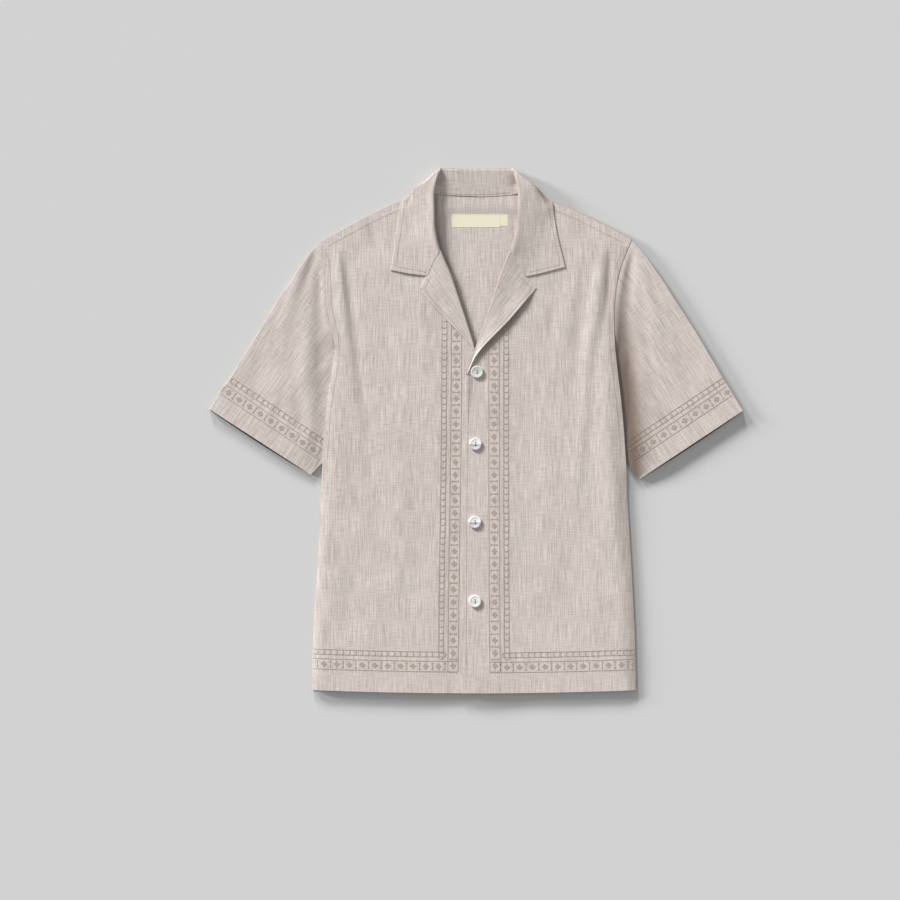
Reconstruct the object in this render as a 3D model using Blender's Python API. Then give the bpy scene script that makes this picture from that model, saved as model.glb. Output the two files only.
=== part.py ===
"""Short-sleeved linen shirt with a notched camp collar, buttoned and laid flat with its front up.

The shirt lies on z = 0. +Y points to the collar and +X to the wearer's left, so the wearer's
right front is at -X. The origin is under the middle of the outline. Sizes here are in
millimetres and become metres when a mesh is made.
"""
import math

import bpy
import bmesh
import numpy as np

MM = 0.001

# Cloth and the way it lies
CLOTH = 1.2             # wall of one layer of cloth with its seam allowances
SEAM = 0.3              # gap between two pieces at a seam
LAID = 0.6              # air under a piece that lies on a curved panel
BODY_TOP = 5.0          # outer face of the fronts over the surface
SLEEVE_TOP = 4.8        # outer face of a sleeve's upper layer
TUCKED_TOP = 2.75       # the same where the sleeve slips under the side of the body
LEAST_TOP = 2.85        # a trough never presses a front lower than this
SIDE_TOP = 2.95         # outer face of a front at its side seam
SIDE_ROUND = 7.0        # width over which a front rounds down to its side
OVER_SLEEVE = 1.4       # the side seam lies this much higher where the sleeve is tucked in
PLACKET_DIP = 0.9       # the right front lies this much lower where the left one covers it
PLACKET_RISE = 0.8      # and the left front this much higher
FOLD_RADIUS = 2.5       # of the back's fold along the shoulders
FOLD_FLAT = 0.6         # flat stretch before that fold

# Lengths of the cut
HEM_Y = -367.5
HEM_LIFT = 4.0          # the hem's corners lie this much higher than its middle
SHOULDER_STRIP = 14.0   # the back comes over the shoulder by this much
SEAM_CHORD = 0.25       # extra room along the shoulder seam, whose edges are short straights
NECK_STRIP_X = 72.0     # the strip starts here, beside the collar's stand
SLEEVE_TUCK = 5.0       # the sleeve's underarm reaches this far under the body's side
BACK_INSET = 1.1        # the back's edge lies this far inside the fronts' sides

BODY_HALF = 215.0       # half the width across the chest
HEM_CURVE_TOP = -265.0  # the hem's curve has died out here
SHOULDER_POINT_Y = 262.0

# Grid of the back: distances from the middle, None for the side; heights; and the shares
# of the stretch from the last height to the neckline or the shoulder fold
BACK_COLUMNS = (0, 26, 45, 56, NECK_STRIP_X, 90, 107, 122, 145, 170, 192, None)
BACK_ROWS = (HEM_Y, -265, -165, -70, -52, -20, 20, 60, 104, 120, 160, 205)
BACK_ROW_SHARES = (0.3, 0.55, 0.78, 0.88, 1.0)
FOLD_ANGLES = (-45, 0, 45, 90)
STRIP_SHARES = (0.45, 1.0)

# Grid of a front: shares of the way from its side to its edge; heights; and the shares of the
# stretch from the last height to the shoulder seam
FRONT_COLUMNS = (0, 0.008, 0.022, 0.05, 0.12, 0.19, 0.27, 0.36, 0.48, 0.62, 0.74, 0.84,
                 0.91, 0.96, 1.0)
FRONT_ROWS = (HEM_Y, -265, -165, -60, -40, 0, 38, 62, 80, 87, 95, 104, 116, 130, 154, 186, 212)
FRONT_ROW_SHARES = (0.25, 0.5, 0.72, 0.88, 1.0)

# Grid of a sleeve: shares from the armhole to the cuff, and from the outer fold to the underarm
SLEEVE_ROWS = (0, 0.04, 0.1, 0.18, 0.28, 0.4, 0.55, 0.7, 0.85, 1.0)
SLEEVE_COLUMNS = (0.02, 0.08, 0.16, 0.25, 0.35, 0.45, 0.55, 0.65, 0.75, 0.84, 0.92, 0.975)
FOLDED_EDGE_ANGLES = (-50, 0, 50)

# Grid of a lapel: shares from its start down to its tip, round its roll, and from the roll out
LAPEL_ROWS = (0, 0.06, 0.13, 0.2, 0.3, 0.4, 0.5, 0.6, 0.7, 0.8, 0.9, 1.0)
LAPEL_HOOK_SHARES = (0, 0.33, 0.67, 1.0)
LAPEL_COLUMNS = (0, 0.12, 0.28, 0.46, 0.66, 0.84, 1.0)

# Where a section of the collar is cut, counted in its guide points
COLLAR_CUTS = (0, 0.5, 1, 1.35, 1.7, 2, 2.3, 2.65, 3, 3.3, 3.65, 4, 4.3, 4.65, 5, 5.5, 6)

# Sides of the body: height on the shirt, wearer's right side, wearer's left side.
# Below y = 110 they are side seams, and above it the front armholes.
SIDES = (
    (-368.0, -230.0, 223.8),
    (-265.0, -227.1, 220.9),
    (-181.0, -221.5, 216.5),
    (-97.0, -217.3, 211.5),
    (-31.0, -214.5, 208.6),
    (47.0, -207.8, 202.0),
    (86.0, -201.4, 197.3),
    (110.0, -198.4, 194.8),
    (130.0, -200.2, 193.5),
    (174.0, -209.0, 193.2),
    (222.0, -211.5, 200.2),
    (266.0, -218.7, 216.5),
)

# Shoulder line: distance from the middle, height on the wearer's right, on the left
SHOULDERS = (
    (0.0, 368.0, 368.0),
    (62.0, 339.0, 339.0),
    (88.0, 327.5, 327.5),
    (107.0, 320.4, 320.4),
    (140.0, 305.9, 307.5),
    (171.0, 289.6, 292.0),
    (202.0, 272.3, 276.5),
    (219.0, 262.5, 267.0),
)

# Neckline of the back: distance from the middle, height
BACK_NECK = (
    (0.0, 327.3),
    (26.0, 328.2),
    (45.0, 330.8),
    (56.0, 334.5),
    (72.0, 335.0),
)

# Front edges: height, the right front's edge, the left front's edge. They run straight up
# the placket, then behind the roll line, then round the neck.
FRONT_EDGES = (
    (-368.0, 17.0, -19.9),
    (-180.0, 17.0, -19.0),
    (-17.0, 17.0, -17.6),
    (38.0, 16.0, -16.0),
    (62.0, 15.0, -15.3),
    (80.0, 12.0, -12.4),
    (87.0, 9.0, -9.2),
    (95.0, 5.0, -2.6),
    (104.0, 0.4, 0.0),
    (116.0, -5.4, 2.8),
    (130.0, -9.9, 7.6),
    (154.0, -16.5, 15.7),
    (186.0, -27.2, 26.2),
    (218.0, -37.9, 36.4),
    (246.0, -49.9, 47.0),
    (254.0, -56.0, 53.0),
    (264.0, -65.0, 64.0),
    (280.0, -68.5, 68.5),
    (330.0, -72.0, 72.0),
)

# Roll lines of the lapels: height, right, left
ROLLS = (
    (90.0, 4.0, -6.6),
    (104.0, 1.0, -3.2),
    (116.0, -1.9, -0.4),
    (154.0, -13.3, 12.5),
    (186.0, -24.0, 23.0),
    (218.0, -34.7, 33.2),
    (252.0, -49.1, 46.2),
    (270.0, -54.0, 52.3),
    (298.0, -57.5, 56.6),
    (368.0, -57.5, 56.6),
)

# Rise of the fronts to the roll line: height, rise
ROLL_RISE = (
    (90.0, 0.0),
    (116.0, 0.5),
    (154.0, 1.4),
    (186.0, 2.2),
    (218.0, 3.0),
    (252.0, 3.7),
    (298.0, 4.0),
    (368.0, 4.0),
)
ROLL_RISE_WIDTH = 25.0

# Largest folds of the fronts: start x, y, end x, y, half width, height
FRONT_FOLDS = (
    (-193.0, 250.0, -179.0, 120.0, 9.0, 1.2),
    (-181.0, 238.0, -166.0, 100.0, 8.0, -2.0),
    (-166.0, 104.0, -150.0, -40.0, 9.0, -1.6),
    (-150.0, 262.0, -143.0, 205.0, 6.0, -0.9),
    (-196.0, -40.0, -206.0, -230.0, 13.0, -1.2),
    (178.0, 256.0, 156.0, 90.0, 9.0, 1.2),
    (156.0, 96.0, 135.0, -80.0, 9.0, 1.0),
    (187.0, 250.0, 184.0, 160.0, 6.0, -1.6),
    (105.0, 172.0, 104.0, 112.0, 6.0, -1.0),
    (196.0, 40.0, 205.0, -150.0, 9.0, -1.2),
)

# Largest folds of the sleeves: start x, y, end x, y, half width, height
SLEEVE_FOLDS = (
    (-226.0, 248.0, -247.0, 190.0, 7.0, -1.2),
    (-236.0, 250.0, -268.0, 150.0, 9.0, 0.8),
    (-222.0, 215.0, -221.0, 40.0, 10.0, -1.9),
    (-247.0, 60.0, -252.0, 5.0, 9.0, -0.8),
    (212.0, 240.0, 205.0, 120.0, 8.0, -1.6),
    (208.0, 150.0, 218.0, -20.0, 13.0, -2.0),
    (233.0, 240.0, 262.0, 120.0, 10.0, 0.8),
    (280.0, 120.0, 300.0, 30.0, 12.0, -0.8),
)

# Outer edges of the sleeves, shoulder to cuff: share of the length, right x, y, left x, y
SLEEVE_OUTER = (
    (0.00, -218.7, 262.5, 216.7, 267.5),
    (0.10, -235.5, 245.5, 231.0, 252.0),
    (0.25, -259.5, 212.0, 256.0, 218.0),
    (0.40, -282.0, 176.0, 278.0, 183.5),
    (0.60, -311.0, 128.0, 309.5, 134.5),
    (0.80, -341.5, 80.0, 341.5, 80.5),
    (1.00, -373.5, 30.0, 373.5, 28.0),
)
# The cuff's inner corner and the end of the underarm seam beside the body: x, y
CUFF_CORNER = {"right": (-230.5, -62.5), "left": (228.5, -68.0)}
UNDERARM_END = {"right": (-217.0, -46.0), "left": (210.5, -45.0)}
UNDERARM_RADIUS = 1.35  # of the seam edge, pressed nearly flat
OVERARM_BESIDE = 34.0   # distance over which the sleeve comes up from under the body's side

# The collar, one half, from the middle of the back round to the gorge seam. A row is a
# section: where the neck seam, the stand, the roll, the slope beyond it, the outer fold,
# the fall and the fall's edge lie, as distance from the middle, height on the shirt and z.
COLLAR_GUIDES = ("neck", "stand", "roll", "slope", "fold", "fall", "edge")
COLLAR = (
    ((0, 328, 3.2), (0, 345, 5.2), (0, 359, 8.2), (0, 365.5, 7.2),
     (0, 367.4, 4.0), (0, 361, 0), (0, 316, 0)),
    ((26, 329, 3.2), (26, 345, 5.4), (26, 359, 8.6), (26, 365, 7.6),
     (26, 367.2, 4.2), (27, 361, 0), (28, 316, 0)),
    ((45, 332, 3.4), (44, 346, 6.2), (43, 358, 9.6), (44, 364, 8.6),
     (46, 366.8, 4.4), (48, 360, 0), (52, 316, 0)),
    ((57, 339, 4.0), (53, 348, 7.4), (51, 357, 10.2), (54, 361, 9.8),
     (59, 360.5, 5.0), (64, 355, 0), (70, 316, 0)),
    ((63, 338, 4.6), (57, 342, 9.0), (58.5, 346, 11.2), (64, 349, 10.6),
     (74, 350, 5.0), (77, 345, 0), (84, 319, 0)),
    ((66, 322, 5.2), (58.4, 325, 9.2), (61, 327, 11.5), (70, 331, 10.6),
     (88, 338, 8.0), (96, 337, 2.6), (98, 328, 0)),
    ((65.5, 300, 5.6), (58.2, 303, 9.4), (61, 304, 11.6), (72, 307, 10.2),
     (90, 314, 8.4), (101, 322.5, 7.9), (107.4, 327.2, 5.8)),
    ((64.5, 283, 6.2), (57.0, 285, 9.4), (60, 286, 11.5), (71, 287, 10.0),
     (89, 290, 8.0), (101, 293, 7.2), (109, 297, 6.8)),
    ((60.5, 265, 7.4), (53.2, 266, 9.2), (56.5, 266, 11.2), (67, 263, 9.8),
     (86, 259, 7.8), (102, 258, 7.2), (115, 258, 6.8)),
    ((54.0, 254, 8.2), (48.8, 252.6, 9.0), (51.5, 247.6, 10.8), (57.8, 236.6, 9.4),
     (68.5, 215.4, 7.8), (94, 220, 7.2), (122, 225.4, 6.8)),
)
LEAF_FROM = 7           # from this section on, the fall lies on the fronts
ROLL_DRIFT = -1.4       # the roll's lower ends lie this far towards the wearer's right

# Lapels: the notch, the peak and the outer edge down to the tip: share of the length, x, y
LAPEL_NOTCH = {"right": (-67.6, 214.5), "left": (67.6, 214.5)}
LAPEL_OUTER = {
    "right": (
        (0.0, -76.6, 198.4),
        (0.05, -74.6, 192.6),
        (0.1, -71.0, 187.5),
        (0.5, -41.5, 154.6),
        (1.0, -8.5, 119.0),
    ),
    "left": (
        (0.0, 82.3, 198.4),
        (0.05, 79.0, 193.4),
        (0.1, 74.6, 188.2),
        (0.5, 40.0, 147.8),
        (1.0, -0.5, 99.4),
    ),
}
LAPEL_TIP_Y = {"right": 120.0, "left": 98.5}
LAPEL_START_Y = 250.2
LAPEL_WRAP_Y = (112.0, 140.0)   # below this the roll opens to a plain folded edge
ROLL_RADIUS = 2.4       # of the lapel's roll round the front's edge
LAPEL_TAIL = 2.2        # the facing runs on this far under the front's edge
NOTCH_SHARE = 0.62      # of the way from the roll to the peak, where the notch is cut

# Neck label and size tab, woven, on the inside of the back: middle x, y, width, height
LABEL = (-0.4, 293.6, 67.2, 18.3)
SIZE_TAB = (38.9, 294.4, 10.6, 16.0)
LABEL_WALL = 1.0

# Two-hole shell buttons on the left front
BUTTON_PLACES = ((1.1, 81.9), (-1.0, -18.9), (-1.7, -128.1), (-1.7, -238.7))
BUTTON_DIAMETER = 17.6
BUTTON_THICKNESS = 2.6
BUTTON_DISH_RADIUS = 5.6
BUTTON_DISH_DEPTH = 0.6
BUTTON_BEVEL = 0.9
HOLE_DIAMETER = 1.9
HOLE_SPACING = 4.2

LINEN = (0.60, 0.52, 0.48, 1.0)
SHELL = (0.80, 0.82, 0.78, 1.0)
WOVEN_LABEL = (0.83, 0.80, 0.62, 1.0)
CLOTH_ROUGHNESS = 0.9
SHELL_ROUGHNESS = 0.25

SIGN = {"right": -1, "left": 1}
COLUMN = {"right": 0, "left": 1}


def clear_scene():
    for thing in list(bpy.data.objects):
        bpy.data.objects.remove(thing, do_unlink=True)


def along(table, at):
    """Values of a table's columns at the positions `at`: smooth cubic pieces through its rows."""
    rows = np.array(table, float)
    rows = rows[np.argsort(rows[:, 0])]
    place, values = rows[:, 0], rows[:, 1:]
    slope = np.gradient(values, place, axis=0)
    at = np.clip(np.asarray(at, float), place[0], place[-1])
    k = np.clip(np.searchsorted(place, at, side="right") - 1, 0, len(place) - 2)
    span = (place[k + 1] - place[k])[..., None]
    t = (at[..., None] - place[k][..., None]) / span
    return (values[k] * (1 - t) ** 2 * (1 + 2 * t) + values[k + 1] * t ** 2 * (3 - 2 * t)
            + slope[k] * span * t * (1 - t) ** 2 - slope[k + 1] * span * t ** 2 * (1 - t))


def ease(value, start, end):
    """0 before start, 1 after end, and a smooth step between them."""
    t = np.clip((value - start) / (end - start), 0, 1)
    return t * t * (3 - 2 * t)


def fold_heights(x, y, folds):
    """Sum of soft ridges and troughs: bell-shaped across each line, fading at both its ends."""
    total = np.zeros(np.broadcast(x, y).shape)
    for x0, y0, x1, y1, half_width, height in folds:
        length_squared = (x1 - x0) ** 2 + (y1 - y0) ** 2
        share = ((x - x0) * (x1 - x0) + (y - y0) * (y1 - y0)) / length_squared
        nearest = np.clip(share, 0, 1)
        away = np.hypot(x - x0 - nearest * (x1 - x0), y - y0 - nearest * (y1 - y0))
        total = total + height * np.exp(-(away / half_width) ** 2) * np.sin(math.pi * nearest) ** 0.6
    return total


def side_x(y, side):
    return along(SIDES, np.asarray(y, float))[..., COLUMN[side]]


def shoulder_y(x, side):
    return along(SHOULDERS, np.abs(x))[..., COLUMN[side]]


def roll_x(y, side):
    return along(ROLLS, y)[..., COLUMN[side]]


def front_top(x, y, side):
    """Outer face of a front: flat, lifted towards the roll line, with the largest folds."""
    sign = SIGN[side]
    from_roll = np.maximum((x - roll_x(y, side)) * sign, 0)
    rise = along(ROLL_RISE, y)[..., 0] * np.exp(-(from_roll / ROLL_RISE_WIDTH) ** 2)
    over_placket = 1 - ease(x * sign, 22, 60)
    step = PLACKET_RISE if side == "left" else -PLACKET_DIP
    return BODY_TOP + rise + step * over_placket + fold_heights(x, y, FRONT_FOLDS)


def back_lift(x, y):
    """The back lies flat on the surface but for the part over the collar's fall."""
    return 1.7 * ease(y, 300, 313) * (1 - ease(np.abs(x), 106, 120))


def wall_normals(grid):
    across = np.gradient(grid, axis=1)
    up = np.gradient(grid, axis=0)
    normal = np.cross(across, up)
    return normal / np.linalg.norm(normal, axis=2, keepdims=True)


def finish(name, vertices, faces, colour, roughness):
    """An object of its own, with its mesh in metres, smooth shading and its own material."""
    mesh = bpy.data.meshes.new(name)
    mesh.from_pydata((np.array(vertices) * MM).tolist(), [], faces)
    mesh.validate()
    mesh.shade_smooth()
    mesh.set_sharp_from_angle(angle=math.radians(50))
    thing = bpy.data.objects.new(name, mesh)
    bpy.context.collection.objects.link(thing)
    material = bpy.data.materials.new(name + "_finish")
    material.use_nodes = True
    shader = material.node_tree.nodes["Principled BSDF"]
    shader.inputs["Base Color"].default_value = colour
    shader.inputs["Roughness"].default_value = roughness
    shader.inputs["Metallic"].default_value = 0.0
    mesh.materials.append(material)
    return thing


def cloth_wall(name, outer, inner=None, colour=LINEN):
    """A closed wall of cloth: the outer grid, the same grid moved in, and a strip round the edge.

    The grid's columns and rows turn so that across x up points out of the cloth.
    """
    rows, columns = outer.shape[:2]
    if inner is None:
        inner = outer - CLOTH * wall_normals(outer)
    points = np.concatenate([outer.reshape(-1, 3), inner.reshape(-1, 3)])
    number = np.arange(rows * columns).reshape(rows, columns)
    moved_in = rows * columns
    faces = []
    for i in range(rows - 1):
        for j in range(columns - 1):
            corner = (number[i, j], number[i, j + 1], number[i + 1, j + 1], number[i + 1, j])
            faces.append(tuple(int(k) for k in corner))
            faces.append(tuple(int(k) + moved_in for k in reversed(corner)))
    rim = np.concatenate([number[0], number[1:, -1], number[-1, -2::-1], number[-2:0:-1, 0]])
    for a, b in zip(rim.tolist(), np.roll(rim, -1).tolist()):
        faces.append((b, a, a + moved_in, b + moved_in))
    return finish(name, points, faces, colour, CLOTH_ROUGHNESS)


def back_column(distance, side):
    """One column of the back's outer face, from the hem up, and beyond the neck also the column
    of the shoulder piece, which turns over the shoulder.

    The column starts at this distance from the middle, or at the side where it is None.
    """
    sign = SIGN[side]
    at_side = distance is None
    armhole_top = abs(float(side_x(SHOULDER_POINT_Y, side))) - SEAM
    start = armhole_top if at_side else distance
    with_strip = start >= NECK_STRIP_X
    if with_strip:
        top_y = float(shoulder_y(start, side)) - FOLD_RADIUS
    else:
        top_y = float(along(BACK_NECK, start)[0])
    fixed = np.array(BACK_ROWS, float)
    rows = np.concatenate([fixed, fixed[-1] + (top_y - fixed[-1]) * np.array(BACK_ROW_SHARES)])
    under_sleeve = ease(rows, -56, -50) * (1 - ease(rows, 108, 116))
    inset = BACK_INSET + (SLEEVE_TUCK + 1.5 - BACK_INSET) * under_sleeve
    edge = np.abs(side_x(rows, side)) - inset
    drawn_in = 1 + (edge / armhole_top - 1) * (start / armhole_top) ** 3
    x = sign * (edge if at_side else start * drawn_in)
    y = rows + HEM_LIFT * (start / BODY_HALF) ** 2 * (1 - ease(rows, HEM_Y, HEM_CURVE_TOP))
    panel = np.stack([x, y, back_lift(x, y)], axis=1)
    if not with_strip:
        return panel, None

    def strip_x(y_now):
        return float(side_x(y_now, side)) - sign * SEAM if at_side else sign * start

    low = panel[-1][2]
    high = float(front_top(np.array(sign * start), np.array(top_y), side))
    start_y = top_y + SEAM + SEAM_CHORD
    over = [(x[-1], start_y, low), (strip_x(top_y), start_y + FOLD_FLAT, low)]
    for angle in np.radians(FOLD_ANGLES):
        y_now = top_y + FOLD_RADIUS * math.cos(angle)
        over.append((strip_x(y_now), y_now, (high + low) / 2 + (high - low) / 2 * math.sin(angle)))
    seam_y = float(shoulder_y(start, side)) - SHOULDER_STRIP + SEAM / 2
    for _ in range(12):
        seam_y = float(shoulder_y(strip_x(seam_y), side)) - SHOULDER_STRIP + SEAM / 2
    for share in STRIP_SHARES:
        y_now = top_y + (seam_y - top_y) * share
        x_now = strip_x(y_now)
        over.append((x_now, y_now, float(front_top(np.array(x_now), np.array(y_now), side))))
    return panel, over


def back():
    """The back, outer face down, and the two shoulder pieces that come over to the front."""
    left = [back_column(distance, "left") for distance in BACK_COLUMNS[::-1]]
    right = [back_column(distance, "right") for distance in BACK_COLUMNS[1:]]
    cloth_wall("back", np.array([panel for panel, _ in left + right]).transpose(1, 0, 2))
    for side, columns in (("left", left), ("right", right)):
        over = np.array([points for _, points in columns if points is not None])
        cloth_wall("shoulder_" + side, over.transpose(1, 0, 2))


def front(side):
    """One front: from the side seam or armhole to its edge, from the hem to the shoulder seam."""
    sign = SIGN[side]
    u = np.array(FRONT_COLUMNS)
    grid = np.zeros((len(FRONT_ROWS) + len(FRONT_ROW_SHARES), len(u), 3))

    def x_at(y, u):
        edge = along(FRONT_EDGES, y)[..., COLUMN[side]]
        outline = side_x(y, side) - sign * SEAM * ease(y, 100, 118)
        return outline + (edge - outline) * u

    y_seam = np.full(len(u), 280.0)
    for _ in range(12):
        y_seam = shoulder_y(x_at(y_seam, u), side) - SHOULDER_STRIP - SEAM / 2
        y_seam = np.minimum(y_seam, 330.0)
    y_seam -= SEAM_CHORD
    for i in range(grid.shape[0]):
        if i < len(FRONT_ROWS):
            y = np.full(len(u), float(FRONT_ROWS[i]))
        else:
            share = FRONT_ROW_SHARES[i - len(FRONT_ROWS)]
            y = FRONT_ROWS[-1] + (y_seam - FRONT_ROWS[-1]) * share
        x = x_at(y, u)
        y_laid = y + HEM_LIFT * (x / BODY_HALF) ** 2 * (1 - ease(y, HEM_Y, HEM_CURVE_TOP))
        top = np.maximum(front_top(x, y_laid, side), LEAST_TOP)
        from_side = np.abs(x - side_x(y, side))
        side_top = SIDE_TOP + OVER_SLEEVE * ease(y, -62, -46) + 0.6 * ease(y, 108, 122)
        rounded = np.sqrt(1 - (1 - np.clip(from_side / SIDE_ROUND, 0, 1)) ** 2)
        drop = 1 - ease(y, 112, 126)
        top = top * (1 - drop) + (side_top + (top - side_top) * rounded) * drop
        grid[i] = np.stack([x, y_laid, top], axis=1)
    if side == "left":
        grid = grid[:, ::-1]
    return cloth_wall("front_" + side, grid)


def sleeve_path(side, v):
    """Where the sleeve meets the body: down the armhole, then tucked under the body's side."""
    sign = SIGN[side]
    end = UNDERARM_END[side]
    top_y = SLEEVE_OUTER[0][2 + 2 * COLUMN[side]]
    y = top_y + (end[1] - top_y) * v
    tuck = (SLEEVE_TUCK + SEAM) * (1 - ease(y, 104, 116)) * ease(y, end[1] - 1, end[1] + 30)
    x = side_x(y, side) + sign * (SEAM - tuck)
    return x, y


def sleeve(side):
    """A short sleeve pressed into a flat tube: the outer fold, the upper layer, the underarm and
    the lower layer, carried from the armhole to the cuff."""
    own = slice(2 * COLUMN[side], 2 * COLUMN[side] + 2)
    corner = CUFF_CORNER[side]
    outer_start = along(SLEEVE_OUTER, 0.0)[own]
    outer_end = along(SLEEVE_OUTER, 1.0)[own]
    v = np.concatenate([[0.0], SLEEVE_COLUMNS, [1.0]])
    rings_out, rings_in = [], []
    for u in SLEEVE_ROWS:
        bulge = along(SLEEVE_OUTER, u)[own] - (outer_start + (outer_end - outer_start) * u)
        x0, y0 = sleeve_path(side, v)
        x1 = outer_end[0] + (corner[0] - outer_end[0]) * v
        y1 = outer_end[1] + (corner[1] - outer_end[1]) * v
        fade = (1 - v) ** 2
        x = x0 + (x1 - x0) * u + bulge[0] * fade
        y = y0 + (y1 - y0) * u + bulge[1] * fade
        near_body = np.hypot(x - x0, y - y0)
        beside = 1 - ease(y0, 112, 150)
        low_top = TUCKED_TOP + (SLEEVE_TOP - TUCKED_TOP) * ease(near_body, 3, OVERARM_BESIDE)
        top = SLEEVE_TOP * (1 - beside) + low_top * beside
        pinch = ease(v, 0.75, 1.0)
        top = top * (1 - pinch) + np.minimum(top, 2 * UNDERARM_RADIUS + 0.6 * u) * pinch
        top = top + fold_heights(x, y, SLEEVE_FOLDS) * (1 - pinch) * ease(near_body, 0, 25)
        top = np.clip(top, 2 * CLOTH + SEAM, None)
        ring = np.stack([x, y], axis=1)
        tangent = np.gradient(ring, axis=0)
        tangent /= np.linalg.norm(tangent, axis=1, keepdims=True)

        def half_round(edge, direction, height, angles):
            radius = height / 2
            outside, inside = [], []
            for angle in angles:
                swing, lift = math.cos(angle), math.sin(angle)
                centre = edge + direction * radius
                outside.append((*(centre - direction * radius * swing), radius + radius * lift))
                thin = radius - CLOTH
                inside.append((*(centre - direction * thin * swing), radius + thin * lift))
            return outside, inside

        angles = np.radians(FOLDED_EDGE_ANGLES)
        start_out, start_in = half_round(ring[0], tangent[0], top[0], angles)
        end_out, end_in = half_round(ring[-1], -tangent[-1], top[-1], angles[::-1])
        inner_points = ring[1:-1]
        run = [(*p, h) for p, h in zip(inner_points, top[1:-1])]
        run_in = [(*p, h - CLOTH) for p, h in zip(inner_points, top[1:-1])]
        floor = [(*p, 0.0) for p in inner_points[::-1]]
        floor_in = [(*p, CLOTH) for p in inner_points[::-1]]
        rings_out.append(start_out + run + end_out + floor)
        rings_in.append(start_in + run_in + end_in + floor_in)
    outer, inner = np.array(rings_out), np.array(rings_in)
    count, around = outer.shape[:2]
    points = np.concatenate([outer.reshape(-1, 3), inner.reshape(-1, 3)])
    shift = count * around
    faces = []
    for i in range(count - 1):
        for j in range(around):
            k = (j + 1) % around
            quad = (i * around + j, (i + 1) * around + j, (i + 1) * around + k, i * around + k)
            faces.append(quad)
            faces.append(tuple(n + shift for n in reversed(quad)))
    for j in range(around):
        k = (j + 1) % around
        last = (count - 1) * around
        faces.append((j, k, k + shift, j + shift))
        faces.append((last + k, last + j, last + j + shift, last + k + shift))
    if side == "left":
        faces = [tuple(reversed(face)) for face in faces]
    return finish("sleeve_" + side, points, faces, LINEN, CLOTH_ROUGHNESS)


def collar():
    """The collar in one piece: each row of the table is a section, carried round the neck."""
    half = np.array(COLLAR, float)
    mirrored = half[:0:-1] * np.array([-1, 1, 1])
    rows = np.concatenate([mirrored, half])
    lowest, highest = -len(COLLAR) + 1, len(COLLAR) - 1
    knots = np.arange(lowest, highest + 1)
    stops = np.arange(0, highest + 0.01, 0.5)
    stops = np.sort(np.concatenate([stops, [highest - 0.25, highest - 0.75]]))
    stations = np.concatenate([-stops[:0:-1], stops])
    spread = rows.reshape(len(rows), -1)
    table = np.concatenate([knots[:, None], spread], axis=1)
    guides = along(table, stations).reshape(len(stations), len(COLLAR_GUIDES), 3)
    places = np.arange(len(COLLAR_GUIDES), dtype=float)
    cuts = np.array(COLLAR_CUTS)
    grid = np.zeros((len(stations), len(cuts), 3))
    for n, section in enumerate(guides):
        smooth = along(np.concatenate([places[:, None], section], axis=1), cuts)
        straight = np.stack([np.interp(cuts, places, section[:, k]) for k in range(3)], axis=1)
        corner = ease(abs(stations[n]), highest - 1, highest) * ease(cuts, 2.5, 3.2)
        grid[n] = smooth + (straight - smooth) * corner[:, None]
        side = "left" if stations[n] > 0 else "right"
        on_front = ease(abs(stations[n]), LEAF_FROM - 2.2, LEAF_FROM - 1.6) * (cuts > 2.2)
        laid = front_top(grid[n, :, 0], grid[n, :, 1], side) + LAID + CLOTH
        laid = np.where((cuts > 4.2) & (abs(stations[n]) < LEAF_FROM - 0.9), 0, laid)
        grid[n, :, 2] = np.maximum(grid[n, :, 2], laid * on_front)
        grid[n, :, 2] = np.maximum(grid[n, :, 2], 0)
        drift = ROLL_DRIFT * ease(abs(stations[n]), LEAF_FROM - 1, highest) * (1 - ease(cuts, 3, 4))
        grid[n, :, 0] += drift
    grid = grid.transpose(1, 0, 2)
    return cloth_wall("collar", grid)


def lapel(side):
    """A lapel: the front's facing, rolled round the front's edge and laid on the front."""
    sign = SIGN[side]
    tip = LAPEL_TIP_Y[side]
    hook_shares = np.array(LAPEL_HOOK_SHARES)
    run = np.array(LAPEL_COLUMNS)
    notch, peak = np.array(LAPEL_NOTCH[side]), np.array(LAPEL_OUTER[side][0][1:])
    grid = np.zeros((len(LAPEL_ROWS), len(hook_shares) + 1 + len(run), 3))
    for n, share in enumerate(LAPEL_ROWS):
        y = LAPEL_START_Y + (tip - LAPEL_START_Y) * share
        wrap = float(ease(y, *LAPEL_WRAP_Y))
        angles = np.radians(-90 * wrap + (48 + 90 * wrap) * hook_shares)
        roll = np.array([float(roll_x(np.array(y), side)), y])
        outer = along(LAPEL_OUTER[side], np.array(share))
        centre = roll + np.array([sign * ROLL_RADIUS, 0])
        line = centre + (outer - centre) * run[:, None]
        to_notch = run[:, None] / NOTCH_SHARE
        to_peak = (run[:, None] - NOTCH_SHARE) / (1 - NOTCH_SHARE)
        notched = np.where(to_notch < 1, centre + (notch - centre) * to_notch,
                           notch + (peak - notch) * to_peak)
        straight = centre + (peak - centre) * run[:, None]
        line = line + (notched - straight) * (1 - share) ** 5
        height = front_top(line[:, 0], line[:, 1], side) + LAID + CLOTH
        crest = height[0]
        hook = [(roll[0] + sign * (ROLL_RADIUS - ROLL_RADIUS * math.cos(a)), roll[1],
                 crest - ROLL_RADIUS + ROLL_RADIUS * math.sin(a)) for a in angles]
        tail_in = (ROLL_RADIUS + LAPEL_TAIL) * wrap
        tail_z = crest - ROLL_RADIUS * (1 + wrap) - 0.4 * (1 - wrap)
        tail = (roll[0] + sign * tail_in, roll[1], tail_z)
        grid[n] = np.array([tail] + hook + [(*p, h) for p, h in zip(line, height)])
    if side == "right":
        grid = grid[:, ::-1]
    return cloth_wall("lapel_" + side, grid[::-1])


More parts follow.
